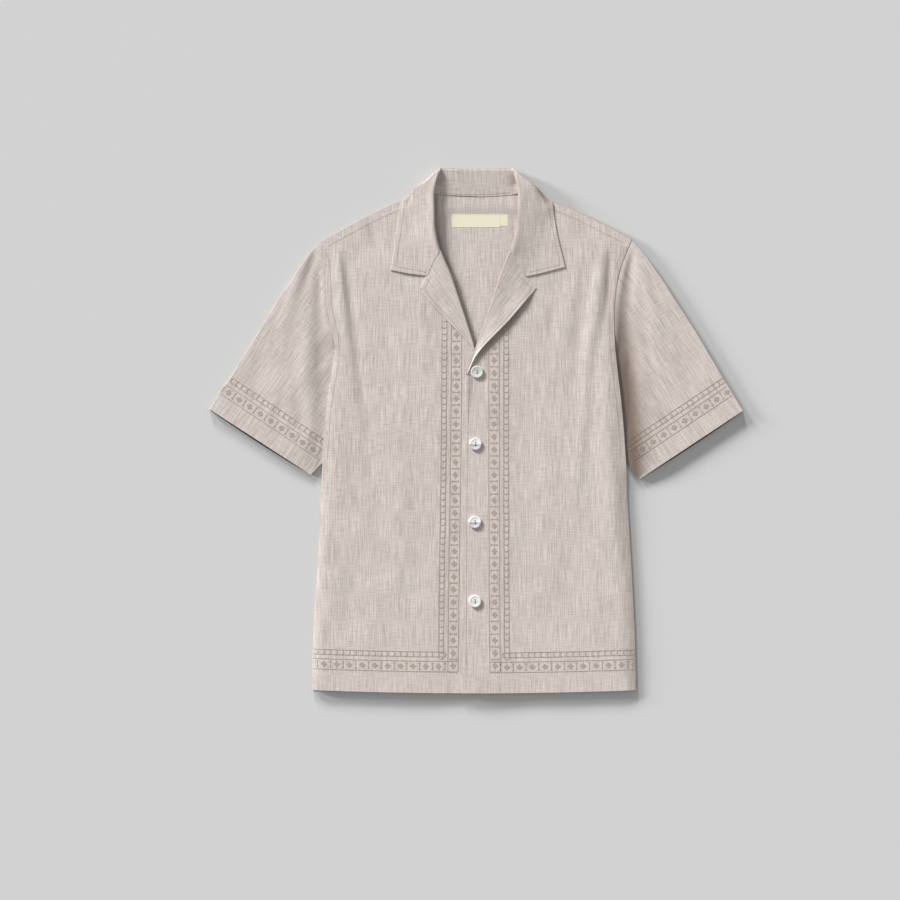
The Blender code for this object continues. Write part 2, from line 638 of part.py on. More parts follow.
def flat_label(name, place):
    """A woven label: a thin slip that lies on the inside of the back."""
    x, y, width, height = place
    xs = x + np.linspace(-width / 2, width / 2, 7)
    ys = y + np.linspace(-height / 2, height / 2, 4)
    grid_x, grid_y = np.meshgrid(xs, ys)
    under = back_lift(grid_x, grid_y) + CLOTH + LAID
    outer = np.stack([grid_x, grid_y, under + LABEL_WALL], axis=2)
    inner = np.stack([grid_x, grid_y, under], axis=2)
    return cloth_wall(name, outer, inner, colour=WOVEN_LABEL)


def button_mesh():
    """A shell button: a turned disc with a dished middle and two holes through it."""
    radius = BUTTON_DIAMETER / 2
    dish_z = BUTTON_THICKNESS - BUTTON_DISH_DEPTH
    profile = ((0, 0), (radius - BUTTON_BEVEL, 0), (radius, BUTTON_BEVEL),
               (radius, BUTTON_THICKNESS - BUTTON_BEVEL), (radius - BUTTON_BEVEL, BUTTON_THICKNESS),
               (BUTTON_DISH_RADIUS + 0.7, BUTTON_THICKNESS), (BUTTON_DISH_RADIUS - 0.3, dish_z),
               (0, dish_z))
    shape = bmesh.new()
    chain = [shape.verts.new((r * MM, 0, h * MM)) for r, h in profile]
    edges = [shape.edges.new(pair) for pair in zip(chain, chain[1:])]
    bmesh.ops.spin(shape, geom=chain + edges, cent=(0, 0, 0), axis=(0, 0, 1), angle=2 * math.pi,
                   steps=24, use_merge=True)
    bmesh.ops.remove_doubles(shape, verts=shape.verts, dist=1e-6)
    bmesh.ops.recalc_face_normals(shape, faces=shape.faces)
    disc_mesh = bpy.data.meshes.new("button_disc")
    shape.to_mesh(disc_mesh)
    shape.free()
    disc = bpy.data.objects.new("button_disc", disc_mesh)
    bpy.context.collection.objects.link(disc)
    cutters = []
    for end in (-1, 1):
        bpy.ops.mesh.primitive_cylinder_add(vertices=10, radius=HOLE_DIAMETER / 2 * MM, depth=12 * MM)
        cutter = bpy.context.object
        cutter.location = (0, end * HOLE_SPACING / 2 * MM, BUTTON_THICKNESS / 2 * MM)
        hole = disc.modifiers.new("Hole", "BOOLEAN")
        hole.object = cutter
        hole.operation = "DIFFERENCE"
        cutters.append(cutter)
    bpy.context.view_layer.update()
    drilled = disc.evaluated_get(bpy.context.evaluated_depsgraph_get())
    mesh = bpy.data.meshes.new_from_object(drilled)
    for thing in [disc] + cutters:
        bpy.data.objects.remove(thing, do_unlink=True)
    mesh.shade_smooth()
    mesh.set_sharp_from_angle(angle=math.radians(35))
    material = bpy.data.materials.new("button_finish")
    material.use_nodes = True
    shader = material.node_tree.nodes["Principled BSDF"]
    shader.inputs["Base Color"].default_value = SHELL
    shader.inputs["Roughness"].default_value = SHELL_ROUGHNESS
    mesh.materials.clear()
    mesh.materials.append(material)
    return mesh


def button(number, place, mesh):
    """One of the buttons, sewn on above the left front."""
    x, y = place
    z = float(front_top(np.array(x), np.array(y), "left")) + SEAM
    thing = bpy.data.objects.new(f"button_{number}", mesh)
    bpy.context.collection.objects.link(thing)
    thing.location = (x * MM, y * MM, z * MM)


clear_scene()
back()
for worn_side in ("right", "left"):
    front(worn_side)
    sleeve(worn_side)
    lapel(worn_side)
collar()
flat_label("label", LABEL)
flat_label("size_tab", SIZE_TAB)
drilled_disc = button_mesh()
for count, spot in enumerate(BUTTON_PLACES, start=1):
    button(count, spot, drilled_disc)
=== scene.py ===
"""Short-sleeved linen shirt with a notched camp collar and embroidered borders, laid flat.

Sizes are in millimetres and become metres when a mesh is made. +Y points to the collar and +X
to the wearer's left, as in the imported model.
"""

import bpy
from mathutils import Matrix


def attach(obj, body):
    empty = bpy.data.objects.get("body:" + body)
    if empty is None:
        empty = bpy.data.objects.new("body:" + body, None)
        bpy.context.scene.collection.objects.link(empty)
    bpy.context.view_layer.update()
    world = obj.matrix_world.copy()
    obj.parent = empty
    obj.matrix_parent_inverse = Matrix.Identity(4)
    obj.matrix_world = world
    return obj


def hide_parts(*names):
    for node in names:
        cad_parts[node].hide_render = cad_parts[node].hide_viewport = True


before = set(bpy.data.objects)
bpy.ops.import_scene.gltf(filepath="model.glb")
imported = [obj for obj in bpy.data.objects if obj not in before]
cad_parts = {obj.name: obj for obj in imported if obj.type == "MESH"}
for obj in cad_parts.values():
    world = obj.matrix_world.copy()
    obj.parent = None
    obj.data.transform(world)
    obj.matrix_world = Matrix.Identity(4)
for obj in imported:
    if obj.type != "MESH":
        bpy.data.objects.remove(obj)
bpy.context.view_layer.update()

import math

import bpy
import bmesh
import numpy as np


# Back

# One panel of slubby, washed linen that lies flat on the surface. It turns over the shoulders
# and its two strips are sewn to the fronts there. The neckline is sewn to the collar's stand.

MM = 0.001
WORN_SIDES = ("right", "left")
SIGN = {"right": -1, "left": 1}     # of x on that side of the shirt
COLUMN = {"right": 0, "left": 1}    # that side's column in a table of both sides

LINEN_WALL = 0.7
LINEN_PALE = (0.85, 0.76, 0.715, 1.0)
LINEN_DARK = (0.39, 0.338, 0.308, 1.0)
PAINTED_SHADE_BROWN = (0.17, 0.125, 0.098, 1.0)    # painted shade, at its darkest in the bottom of the deepest folds
LINEN_ROUGHNESS = 0.92
LINEN_SPECULAR = 0.12
WEAVE_DEPTH = 0.25
# Streaks of yarn: width and length, and the noise that reads as the dark end and as the pale one
WARP_SLUBS = (1.45, 38.0, 0.36, 0.66)
WEFT_SLUBS = (20.0, 1.45, 0.34, 0.66)
FINE_WARP = (0.75, 38.0 / 3, 0.3, 0.7)
FINE_WEFT = (10.0, 0.75, 0.3, 0.7)
WASHED_CLOUDS = (60.0, 120.0, 0.3, 0.7)     # faint blotches left by washing
# Shares in the mix of tones
WEFT_SHARE = 0.34
FINE_WEFT_SHARE = 0.45
FINE_SHARE = 0.36
CLOUD_SHARE = 0.05

HEM_Y = -367.5
HEM_LIFT = 4.0              # of the hem's corners over its middle
HEM_CURVE_TOP = -265.0      # the hem's curve has died out here
BODY_HALF = 215.0
SEAM = 0.1
BACK_COLUMNS = 141
BACK_ROWS = 150
SHOULDER_STRIP = 14.0       # the back comes over the shoulder by this much
SHOULDER_POINT_Y = 264.5
FOLD_RADIUS = 0.7
FOLD_ANGLES = (-60, -30, 0, 30, 60, 90)
FOLD_SHADE = 0.7            # painted shade on the shoulder fold
STRIP_ROWS = 9
STRIP_FIRST_ROW = 0.03      # share of the strip's depth, close to the fold
# Shade inside the neck, under the roll on the wearer's right: x, y, half width, how deep
UNDER_ROLL = ((-57.5, 340, 3.5, 0.0), (-57.5, 325, 3.5, 0.4), (-57.5, 303, 3.5, 0.5),
              (-56.5, 285, 3.5, 0.5), (-52.5, 266, 3.5, 0.5), (-47.5, 250, 3.5, 0.5),
              (-37.0, 218, 3.5, 0.5), (-26.2, 186, 3.5, 0.5), (-15.4, 154, 3.2, 0.5),
              (-8.5, 130, 3, 0.4), (-4, 116, 3, 0.0))
NECK_STRIP_X = 72.0         # the strips start here, beside the collar's stand
BACK_INSET = 1.1            # of the back's edge inside the fronts' sides
BACK_TUCK = 6.5             # the same where the sleeve slips under the body
TUCK_FROM_Y = (-56, -50)    # heights over which that sets in
TUCK_TO_Y = (108, 116)      # and over which it dies out
FALL_THICKNESS = 1.1        # the back lies this much higher over the collar's fall
FALL_EDGE_Y = (300, 313)
FALL_EDGE_X = (106, 120)
BODY_TOP = 5.0              # outer face of the fronts over the surface
LEAST_TOP = 2.5             # a trough never presses a front lower than this
PLACKET_STEP = {"right": -0.9, "left": 0.8}     # where the left front laps over the right one
PLACKET_FADE = (22, 60)     # distances from the middle over which that step dies out

# Sides of the body: height on the shirt, wearer's right side, wearer's left side
SIDES = (
    (-368.0, -230.0, 223.8),
    (-265.0, -227.1, 220.9),
    (-181.0, -221.5, 216.5),
    (-97.0, -217.3, 211.5),
    (-31.0, -214.5, 208.6),
    (47.0, -207.8, 202.0),
    (86.0, -201.4, 197.3),
    (110.0, -198.4, 194.8),
    (130.0, -200.2, 193.5),
    (174.0, -209.0, 193.2),
    (222.0, -211.5, 200.2),
    (266.0, -218.7, 216.5),
)

# Shoulder line: distance from the middle, height on the wearer's right, on the left
SHOULDERS = (
    (0.0, 368.0, 368.0),
    (62.0, 339.0, 339.0),
    (88.0, 327.5, 327.5),
    (107.0, 320.4, 320.4),
    (140.0, 305.9, 307.5),
    (171.0, 289.6, 292.0),
    (202.0, 272.3, 276.5),
    (219.0, 262.5, 267.0),
)

# Neckline of the back: distance from the middle, height
BACK_NECK = (
    (0.0, 333.0),
    (26.0, 334.0),
    (45.0, 336.0),
    (56.0, 338.0),
    (72.0, 338.0),
)

# Roll lines of the lapels: height, right, left
ROLLS = (
    (78.0, 6.0, -15.4),
    (86.0, 5.0, -12.4),
    (94.5, 3.2, -8.4),
    (104.0, 1.0, -5.2),
    (116.0, -1.9, -1.2),
    (154.0, -13.3, 12.5),
    (186.0, -24.0, 23.0),
    (218.0, -34.7, 33.2),
    (252.0, -49.1, 46.2),
    (270.0, -54.0, 52.3),
    (298.0, -57.5, 56.6),
    (368.0, -57.5, 56.6),
)

# Rise of the fronts to the roll line: height, rise
ROLL_RISE = (
    (90.0, 0.0),
    (116.0, 0.5),
    (154.0, 1.4),
    (186.0, 2.2),
    (218.0, 3.0),
    (252.0, 3.7),
    (298.0, 4.0),
    (368.0, 4.0),
)
ROLL_RISE_WIDTH = 25.0

# Creases of the fronts, ridges up and troughs down: x, y, half width, height
FRONT_CREASES = {"right": (
    ((-194, 262, 5, 0.0), (-191, 225, 7, 1.5), (-186, 180, 8, 1.6), (-180, 128, 7, 0.0)),
    ((-186, 250, 5, 0.0), (-180, 205, 6, -1.5), (-173, 150, 7, -1.7), (-166, 98, 7, -1.4),
     (-161, 45, 8, -1.1), (-152, -8, 9, -0.7), (-150, -110, 12, 0.0)),
    ((-150, 290, 4, 0.0), (-145, 268, 5, -0.8), (-139, 246, 5, 0.0)),
    ((-132, 282, 5, 0.0), (-128, 262, 6, 0.5), (-124, 236, 6, 0.0)),
    ((-176, 10, 12, 0.0), (-172, -60, 15, -0.7), (-170, -130, 14, 0.0)),
    ((-206, -150, 14, 0.0), (-188, -182, 16, -0.6), (-160, -196, 14, 0.0)),
    ((-186, -215, 10, 0.0), (-181, -250, 12, -0.5), (-178, -290, 10, 0.0)),
    ((-77, 200, 5, 0.0), (-75, 130, 6, 0.5), (-74, 50, 6, 0.0)),
    ((-50, 190, 6, 0.0), (-52, 163, 8, -0.6), (-50, 130, 7, 0.0)),
    ((-110, 150, 8, 0.0), (-104, 70, 10, 0.35), (-100, -30, 10, 0.0)),
    ((-118, -60, 9, 0.0), (-112, -150, 11, 0.4), (-116, -240, 10, 0.0)),
    ((-84, -20, 9, 0.0), (-86, -120, 10, -0.35), (-80, -230, 10, 0.0)),
    ((-208, 60, 6, 0.0), (-211, -20, 7, -0.7), (-216, -130, 8, 0.0)),
), "left": (
    ((180, 270, 5, 0.0), (171, 212, 8, 1.4), (164, 150, 9, 1.5), (156, 100, 8, 1.2),
     (151, 30, 8, 0.9), (140, -60, 9, 0.6), (132, -120, 9, 0.0)),
    ((187, 262, 4, 0.0), (186, 220, 5, -1.7), (183, 178, 5, -1.2), (176, 140, 6, 0.0)),
    ((150, 240, 7, 0.0), (146, 180, 9, -0.8), (140, 120, 9, -0.7), (134, 40, 9, 0.0)),
    ((106, 180, 4, 0.0), (104.5, 146, 5, -1.0), (104, 108, 4, 0.0)),
    ((200, 60, 6, 0.0), (203, -40, 8, -0.9), (208, -160, 9, -0.6), (212, -250, 9, 0.0)),
    ((176, 60, 9, 0.0), (180, -40, 12, 0.7), (190, -170, 12, 0.0)),
    ((92, 60, 9, 0.0), (96, -60, 11, 0.4), (92, -170, 10, 0.0)),
    ((118, -110, 9, 0.0), (124, -200, 12, -0.4), (122, -300, 10, 0.0)),
    ((64, 110, 7, 0.0), (68, 50, 9, -0.4), (66, -20, 8, 0.0)),
    ((160, -180, 10, 0.0), (166, -250, 12, 0.4), (164, -320, 10, 0.0)),
    ((186, 128, 14, 0.0), (181, 90, 15, 1.2), (184, 20, 16, 1.4), (192, -60, 17, 0.8),
     (200, -200, 16, 0.5), (204, -330, 14, 0.0)),
    ((-10, 92, 3, 0.0), (-12.4, 72, 4, 0.7), (-13.2, 42, 4, 0.55), (-14.2, 0, 4, 0.0)),
)}
# Faint rolling of cloth that was never pressed quite flat: wavelength across, wavelength
# along, its height and where it starts
ROLLING = ((71.0, 460.0, 0.099, 0.4), (43.0, 310.0, 0.056, 1.9), (118.0, 150.0, 0.087, 2.7))
CREST_WANDER = 0.5          # of a wavelength, to either side
LINE_STEPS = 30             # of a crease's line between two stations


def along(table, at):
    """Values of a table's columns at places of its first one: a smooth cubic piece between each
    two rows, with the slope at a row taken from its neighbours."""
    rows = np.array(table, float)
    rows = rows[np.argsort(rows[:, 0])]
    place, values = rows[:, 0], rows[:, 1:]
    slope = np.gradient(values, place, axis=0)
    at = np.clip(np.asarray(at, float), place[0], place[-1])
    k = np.clip(np.searchsorted(place, at, side="right") - 1, 0, len(place) - 2)
    span = (place[k + 1] - place[k])[..., None]
    t = (at[..., None] - place[k][..., None]) / span
    return (values[k] * (1 - t) ** 2 * (1 + 2 * t) + values[k + 1] * t ** 2 * (3 - 2 * t)
            + slope[k] * span * t * (1 - t) ** 2 - slope[k + 1] * span * t ** 2 * (1 - t))


def ease(value, start, end):
    """0 before start, 1 after end, and a smooth step between them."""
    t = np.clip((value - start) / (end - start), 0, 1)
    return t * t * (3 - 2 * t)


def crease(x, y, stations):
    """Height of one soft crease: bell-shaped across a smooth line through its stations, with the
    half width and the height read from the nearest place on the line."""
    table = np.array(stations, float)
    steps = np.linspace(0, len(table) - 1, LINE_STEPS * len(table))
    line = along(np.column_stack([np.arange(len(table)), table]), steps)
    away = (x[..., None] - line[:, 0]) ** 2 + (y[..., None] - line[:, 1]) ** 2
    nearest = np.argmin(away, axis=-1)
    way = np.gradient(line[:, :2], axis=0)
    way /= np.linalg.norm(way, axis=1, keepdims=True)
    off_x, off_y = x - line[nearest, 0], y - line[nearest, 1]
    beside = off_x * way[nearest, 1] - off_y * way[nearest, 0]
    half_width, height = line[nearest, 2], line[nearest, 3]
    return height * np.exp(-(beside / half_width) ** 2)


def creased(x, y, creases):
    """Sum of several creases' heights."""
    return sum(crease(x, y, stations) for stations in creases)


def rolling(x, y):
    """Sum of slow sine waves, whose crests wander from side to side along the cloth."""
    total = 0
    for across, down, height, start in ROLLING:
        wander = CREST_WANDER * np.sin(2 * math.pi * y / down)
        total = total + height * np.sin(2 * math.pi * (x / across + wander) + start)
    return total


def side_x(y, side):
    """x of the body's side or armhole seam at this height."""
    return along(SIDES, y)[..., COLUMN[side]]


def shoulder_y(x, side):
    """y of the shoulder fold at this distance from the middle."""
    return along(SHOULDERS, np.abs(x))[..., COLUMN[side]]


def roll_x(y, side):
    """x of the lapel's roll at this height."""
    return along(ROLLS, y)[..., COLUMN[side]]


def each_side(value_of, on_left):
    """What value_of gives for the wearer's left where on_left is true, else for the right."""
    return np.where(on_left, value_of("left"), value_of("right"))


def hem_curve(x, y):
    """Lift of the cloth near the hem: as the square of the distance from the middle, dying out
    up the shirt."""
    return HEM_LIFT * (x / BODY_HALF) ** 2 * (1 - ease(y, HEM_Y, HEM_CURVE_TOP))


def front_top(x, y, side):
    """Outer face of a front: flat, lifted towards the roll line and stepped at the placket, with
    the front's creases added."""
    sign = SIGN[side]
    from_roll = np.maximum((x - roll_x(y, side)) * sign, 0)
    rise = along(ROLL_RISE, y)[..., 0] * np.exp(-(from_roll / ROLL_RISE_WIDTH) ** 2)
    over_placket = 1 - ease(x * sign, *PLACKET_FADE)
    top = BODY_TOP + rise + PLACKET_STEP[side] * over_placket + creased(x, y, FRONT_CREASES[side])
    return np.maximum(top + rolling(x, y) * (1 - over_placket), LEAST_TOP)


def back_lift(x, y):
    """Height of the back's outer face: 0, but for the part over the collar's fall."""
    return FALL_THICKNESS * ease(y, *FALL_EDGE_Y) * (1 - ease(np.abs(x), *FALL_EDGE_X))


def mixed(tree, kind, factor, first, second):
    """A Mix node of colours or of numbers, each input a socket or a plain value. The numbers
    below are where its two inputs and its result stand among its sockets."""
    node = tree.nodes.new("ShaderNodeMix")
    node.data_type = kind
    at_first, at_second, at_result = {"RGBA": (6, 7, 2), "FLOAT": (2, 3, 0)}[kind]
    for socket, value in ((0, factor), (at_first, first), (at_second, second)):
        if isinstance(value, bpy.types.NodeSocket):
            tree.links.new(value, node.inputs[socket])
        else:
            node.inputs[socket].default_value = value
    return node.outputs[at_result]


def yarns(tree, coordinates, streaks, detail=2.0):
    """Noise drawn out to streaks of a width and a length, on coordinates in metres, with its
    range from low to high spread over 0 to 1."""
    width, length, low, high = streaks
    stretch = tree.nodes.new("ShaderNodeMapping")
    stretch.inputs["Scale"].default_value = (1 / (width * MM), 1 / (length * MM), 1)
    noise = tree.nodes.new("ShaderNodeTexNoise")
    noise.inputs["Scale"].default_value = 1.0
    noise.inputs["Detail"].default_value = detail
    noise.inputs["Roughness"].default_value = 0.6
    spread = tree.nodes.new("ShaderNodeMapRange")
    spread.inputs["From Min"].default_value = low
    spread.inputs["From Max"].default_value = high
    tree.links.new(coordinates, stretch.inputs["Vector"])
    tree.links.new(stretch.outputs["Vector"], noise.inputs["Vector"])
    tree.links.new(noise.outputs["Fac"], spread.inputs["Value"])
    return spread.outputs["Result"]


def new_material(name, settings):
    """A material with these settings of its Principled shader, its node tree and the shader."""
    material = bpy.data.materials.new(name)
    material.use_nodes = True
    shader = material.node_tree.nodes["Principled BSDF"]
    for socket, value in settings.items():
        shader.inputs[socket].default_value = value
    return material, material.node_tree, shader


def with_painted_shade(tree, colour):
    """The colour, mixed towards the brown of painted shade by the piece's own shade attribute."""
    depth = tree.nodes.new("ShaderNodeAttribute")
    depth.attribute_name = "painted_shade"
    return mixed(tree, "RGBA", depth.outputs["Fac"], colour, PAINTED_SHADE_BROWN)


def bumped(tree, shader, height, depth):
    """Bump at half strength from a height of 0 to 1, which stands for this depth."""
    bump = tree.nodes.new("ShaderNodeBump")
    bump.inputs["Strength"].default_value = 0.5
    bump.inputs["Distance"].default_value = depth * MM
    tree.links.new(height, bump.inputs["Height"])
    tree.links.new(bump.outputs["Normal"], shader.inputs["Normal"])


def linen():
    """Plain-weave linen: long uneven yarns along the cloth, shorter ones across it, a fine weave
    in the bump, and faint blotches, with painted shade mixed in by the piece's own attribute."""
    material, tree, shader = new_material("washed_linen", {"Roughness": LINEN_ROUGHNESS,
                                                           "Specular IOR Level": LINEN_SPECULAR})
    weave = tree.nodes.new("ShaderNodeUVMap")
    weave.uv_map = "weave"
    place = weave.outputs["UV"]
    slubs = mixed(tree, "FLOAT", WEFT_SHARE, yarns(tree, place, WARP_SLUBS),
                  yarns(tree, place, WEFT_SLUBS))
    fine = mixed(tree, "FLOAT", FINE_WEFT_SHARE, yarns(tree, place, FINE_WARP),
                 yarns(tree, place, FINE_WEFT))
    tone = mixed(tree, "FLOAT", FINE_SHARE, slubs, fine)
    tone = mixed(tree, "FLOAT", CLOUD_SHARE, tone, yarns(tree, place, WASHED_CLOUDS, detail=1.0))
    colour = mixed(tree, "RGBA", tone, LINEN_DARK, LINEN_PALE)
    tree.links.new(with_painted_shade(tree, colour), shader.inputs["Base Color"])
    bumped(tree, shader, mixed(tree, "FLOAT", 0.5, slubs, fine), WEAVE_DEPTH)
    return material


def grain(x, y, turn=0.0):
    """Place on the cloth in metres, across its warp and along it, turned by so many degrees
    from the shirt's own length."""
    a = math.radians(turn)
    return np.stack([x * math.cos(a) + y * math.sin(a),
                     -x * math.sin(a) + y * math.cos(a)], axis=-1) * MM


def piece(name, points, faces, material, places=None, face_places=None, smooth=True):
    """An object at the origin from points in millimetres. places are the cloth's own
    coordinates, and face_places says which of them each face's corners take."""
    mesh = bpy.data.meshes.new(name)
    mesh.from_pydata((points * MM).tolist(), [], faces.tolist())
    if places is not None:
        layer = mesh.uv_layers.new(name="weave")
        layer.data.foreach_set("uv", places[face_places.reshape(-1)].reshape(-1))
    mesh.materials.append(material)
    if smooth:
        mesh.shade_smooth()
    thing = bpy.data.objects.new(name, mesh)
    bpy.context.collection.objects.link(thing)
    return thing


def cells(numbers):
    """The four corners of each cell in a grid of numbers."""
    return np.stack([numbers[:-1, :-1], numbers[:-1, 1:], numbers[1:, 1:], numbers[1:, :-1]],
                    axis=-1)


def set_painted_shade(thing, painted_shade):
    """How much painted shade each point gets, 0 to 1, as an attribute that the material reads."""
    depth = thing.data.attributes.new("painted_shade", "FLOAT", "POINT")
    depth.data.foreach_set("value", painted_shade)


def cloth(name, grid, turn=0.0, keep=None, tube=False, wall=LINEN_WALL, painted_shade=None,
          round_below_x=-math.inf):
    """A sheet from a grid of points whose across x up points out of the cloth. Cells between
    neighbours become faces where keep allows it, a tube closes on itself, and Solidify gives
    the wall on the inner side, with a crisp rim except below an x where it is rounded. The
    painted shade that each point may be given is 0 to 1."""
    rows, columns = grid.shape[:2]
    shown = np.concatenate([grid, grid[:, :1]], axis=1) if tube else grid
    across = shown.shape[1]
    at_place = np.arange(rows * across).reshape(rows, across)
    at_point = np.arange(rows * columns).reshape(rows, columns)
    if tube:
        at_point = np.concatenate([at_point, at_point[:, :1]], axis=1)
    chosen = np.ones((rows - 1, across - 1), bool) if keep is None else keep
    used, faces = np.unique(cells(at_point)[chosen], return_inverse=True)
    points = grid.reshape(-1, 3)[used]
    thing = piece(name, points, faces.reshape(-1, 4), washed_linen,
                  grain(shown[..., 0], shown[..., 1], turn).reshape(-1, 2), cells(at_place)[chosen])
    edge_of_corner = np.zeros(len(thing.data.loops), dtype=np.int32)
    thing.data.loops.foreach_get("edge_index", edge_of_corner)
    rim = np.bincount(edge_of_corner, minlength=len(thing.data.edges)) == 1
    ends = np.zeros(2 * len(thing.data.edges), dtype=np.int32)
    thing.data.edges.foreach_get("vertices", ends)
    rim &= points[ends.reshape(-1, 2), 0].mean(axis=1) > round_below_x
    thing.data.attributes.new("sharp_edge", "BOOLEAN", "EDGE").data.foreach_set("value", rim)
    if painted_shade is not None:
        set_painted_shade(thing, np.clip(painted_shade, 0, 1).reshape(-1)[used])
    solid = thing.modifiers.new("Wall", "SOLIDIFY")
    solid.thickness = wall * MM
    solid.offset = -1
    solid.use_quality_normals = True
    return thing


washed_linen = linen()


def back_grid():
    """Outer face of the back: columns at even shares from one side to the other, rows from the
    hem to the neckline or the shoulder, then round the fold and down the strip. Also says which
    cells are cloth, and gives each point's painted shade, under the roll and on the fold."""
    share = np.linspace(-1, 1, BACK_COLUMNS)
    on_left = share >= 0
    sign = np.where(on_left, 1, -1)
    shoulder_half = each_side(lambda side: np.abs(side_x(SHOULDER_POINT_Y, side)) - SEAM, on_left)
    start = np.abs(share) * shoulder_half
    outwards = start / shoulder_half
    shoulder = each_side(lambda side: shoulder_y(start, side), on_left)
    with_strip = start >= NECK_STRIP_X
    top_y = np.where(with_strip, shoulder - FOLD_RADIUS, along(BACK_NECK, start)[..., 0])
    y = HEM_Y + (top_y - HEM_Y) * np.linspace(0, 1, BACK_ROWS)[:, None]
    edge = each_side(lambda side: np.abs(side_x(y, side)), on_left)
    under_sleeve = ease(y, *TUCK_FROM_Y) * (1 - ease(y, *TUCK_TO_Y))
    edge = edge - BACK_INSET - (BACK_TUCK - BACK_INSET) * under_sleeve
    x = sign * start * (1 + (edge / shoulder_half - 1) * outwards ** 3)
    y = y + hem_curve(start, y)
    main = np.stack([x, y, back_lift(x, y)], axis=-1)

    top_x, low = sign * start, main[-1, :, 2]
    high = each_side(lambda side: front_top(top_x, top_y, side), on_left)
    turn = np.radians(FOLD_ANGLES)[:, None]
    fold = np.stack([top_x * np.ones(turn.shape), top_y + FOLD_RADIUS * np.cos(turn),
                     (high + low) / 2 + (high - low) / 2 * np.sin(turn)], axis=-1)

    reach = np.append(STRIP_FIRST_ROW, np.linspace(0, 1, STRIP_ROWS)[1:])[:, None]
    seam_y = shoulder - SHOULDER_STRIP + SEAM / 2
    strip_y = top_y + (seam_y - top_y) * reach
    armhole = each_side(lambda side: np.abs(side_x(strip_y, side)) - SEAM, on_left)
    strip_x = top_x * (1 + (armhole / shoulder_half - 1) * outwards ** 6)
    strip_z = each_side(lambda side: front_top(strip_x, strip_y, side), on_left)

    grid = np.concatenate([main, fold, np.stack([strip_x, strip_y, strip_z], axis=-1)])
    keep = np.ones((grid.shape[0] - 1, grid.shape[1] - 1), bool)
    keep[len(main) - 1:, ~(with_strip[1:] & with_strip[:-1])] = False
    painted_shade = np.zeros(grid.shape[:2])
    painted_shade[:len(main)] = crease(main[..., 0], main[..., 1], UNDER_ROLL)
    painted_shade[len(main):len(main) + len(fold)] = FOLD_SHADE
    return grid[:, ::-1], keep[:, ::-1], painted_shade[:, ::-1]


back_points, back_keep, back_painted_shade = back_grid()
back = cloth("back_panel", back_points, keep=back_keep, painted_shade=back_painted_shade)
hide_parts("back", "shoulder_right", "shoulder_left")
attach(back, "root")


# Fronts

# Two linen panels, joined to the back at the side seams and the shoulders. The wearer's left
# one laps over the right one at the placket, and both rise towards the roll of the lapels.

FRONT_COLUMNS = 96
COLUMN_DRAW = 0.132         # that draws the columns closer together at the side and the edge
FRONT_ROWS = 190            # up to the height below
FRONT_TOP_ROWS = 42         # and from there to the shoulder seam
TOP_ROWS_Y = 212.0
NECK_POINT_Y = 330.0        # a front never reaches higher than this
SETTLING_ROUNDS = 12        # in which the seam's place and the columns' slant agree
SIDE_TOP = 2.95             # outer face of a front at its side seam
SIDE_ROUND = {"right": 15.0, "left": 21.0}  # width over which it rounds down to there
OVER_SLEEVE = 1.4           # the side seam lies this much higher where the sleeve is tucked in
OVER_SLEEVE_Y = (-80, -46)
BESIDE_SLEEVE = {"right": -0.75, "left": 0.5}   # and this much more below the armhole's curve
BESIDE_SLEEVE_Y = (90, 122)
ARMHOLE_RISE = 0.6          # of the seam at the height where it turns into the armhole
ARMHOLE_RISE_Y = (108, 122)
ROUND_TOP_Y = (112, 126)    # the rounding dies out here
ARMHOLE_Y = (100, 118)      # the gap of the armhole seam sets in here
TROUGH_SHADE = 0.12         # painted shade for each millimetre of a trough's depth
SIDE_SHADE = {"right": 0.0, "left": 0.30}       # and at the side seam
# Shade on the wearer's left front, under the edge of its lapel and beside the raised edge below
# it: x, y, half width, how deep
UNDER_LAPEL = ((84, 197, 3, 0.0), (76.5, 186.5, 4.5, 0.3), (60, 168, 5.5, 0.5),
               (42.4, 146, 6, 0.62), (21.8, 125.4, 6, 0.62), (7.8, 110.4, 5, 0.5),
               (0, 98, 3, 0.3), (-5, 86, 3.5, 0.25), (-7.5, 70, 4.5, 0.3),
               (-8.5, 58, 5, 0.22), (-9.5, 44, 5, 0.12), (-10, 25, 4, 0.0))

# Front edges: height, the right front's edge, the left front's edge
FRONT_EDGES = (
    (-368.0, 17.0, -19.9),
    (-180.0, 17.0, -19.0),
    (-17.0, 17.0, -17.6),
    (38.0, 16.0, -16.0),
    (62.0, 15.0, -15.3),
    (72.0, 13.5, -15.2),
    (80.0, 12.0, -13.2),
    (87.0, 9.0, -10.0),
    (95.0, 5.0, -5.6),
    (104.0, 0.4, -2.4),
    (116.0, -5.4, 1.6),
    (130.0, -9.9, 7.6),
    (154.0, -16.5, 15.7),
    (186.0, -27.2, 26.2),
    (218.0, -37.9, 36.4),
    (246.0, -49.9, 47.0),
    (254.0, -56.0, 53.0),
    (264.0, -65.0, 64.0),
    (280.0, -68.5, 68.5),
    (330.0, -72.0, 72.0),
)


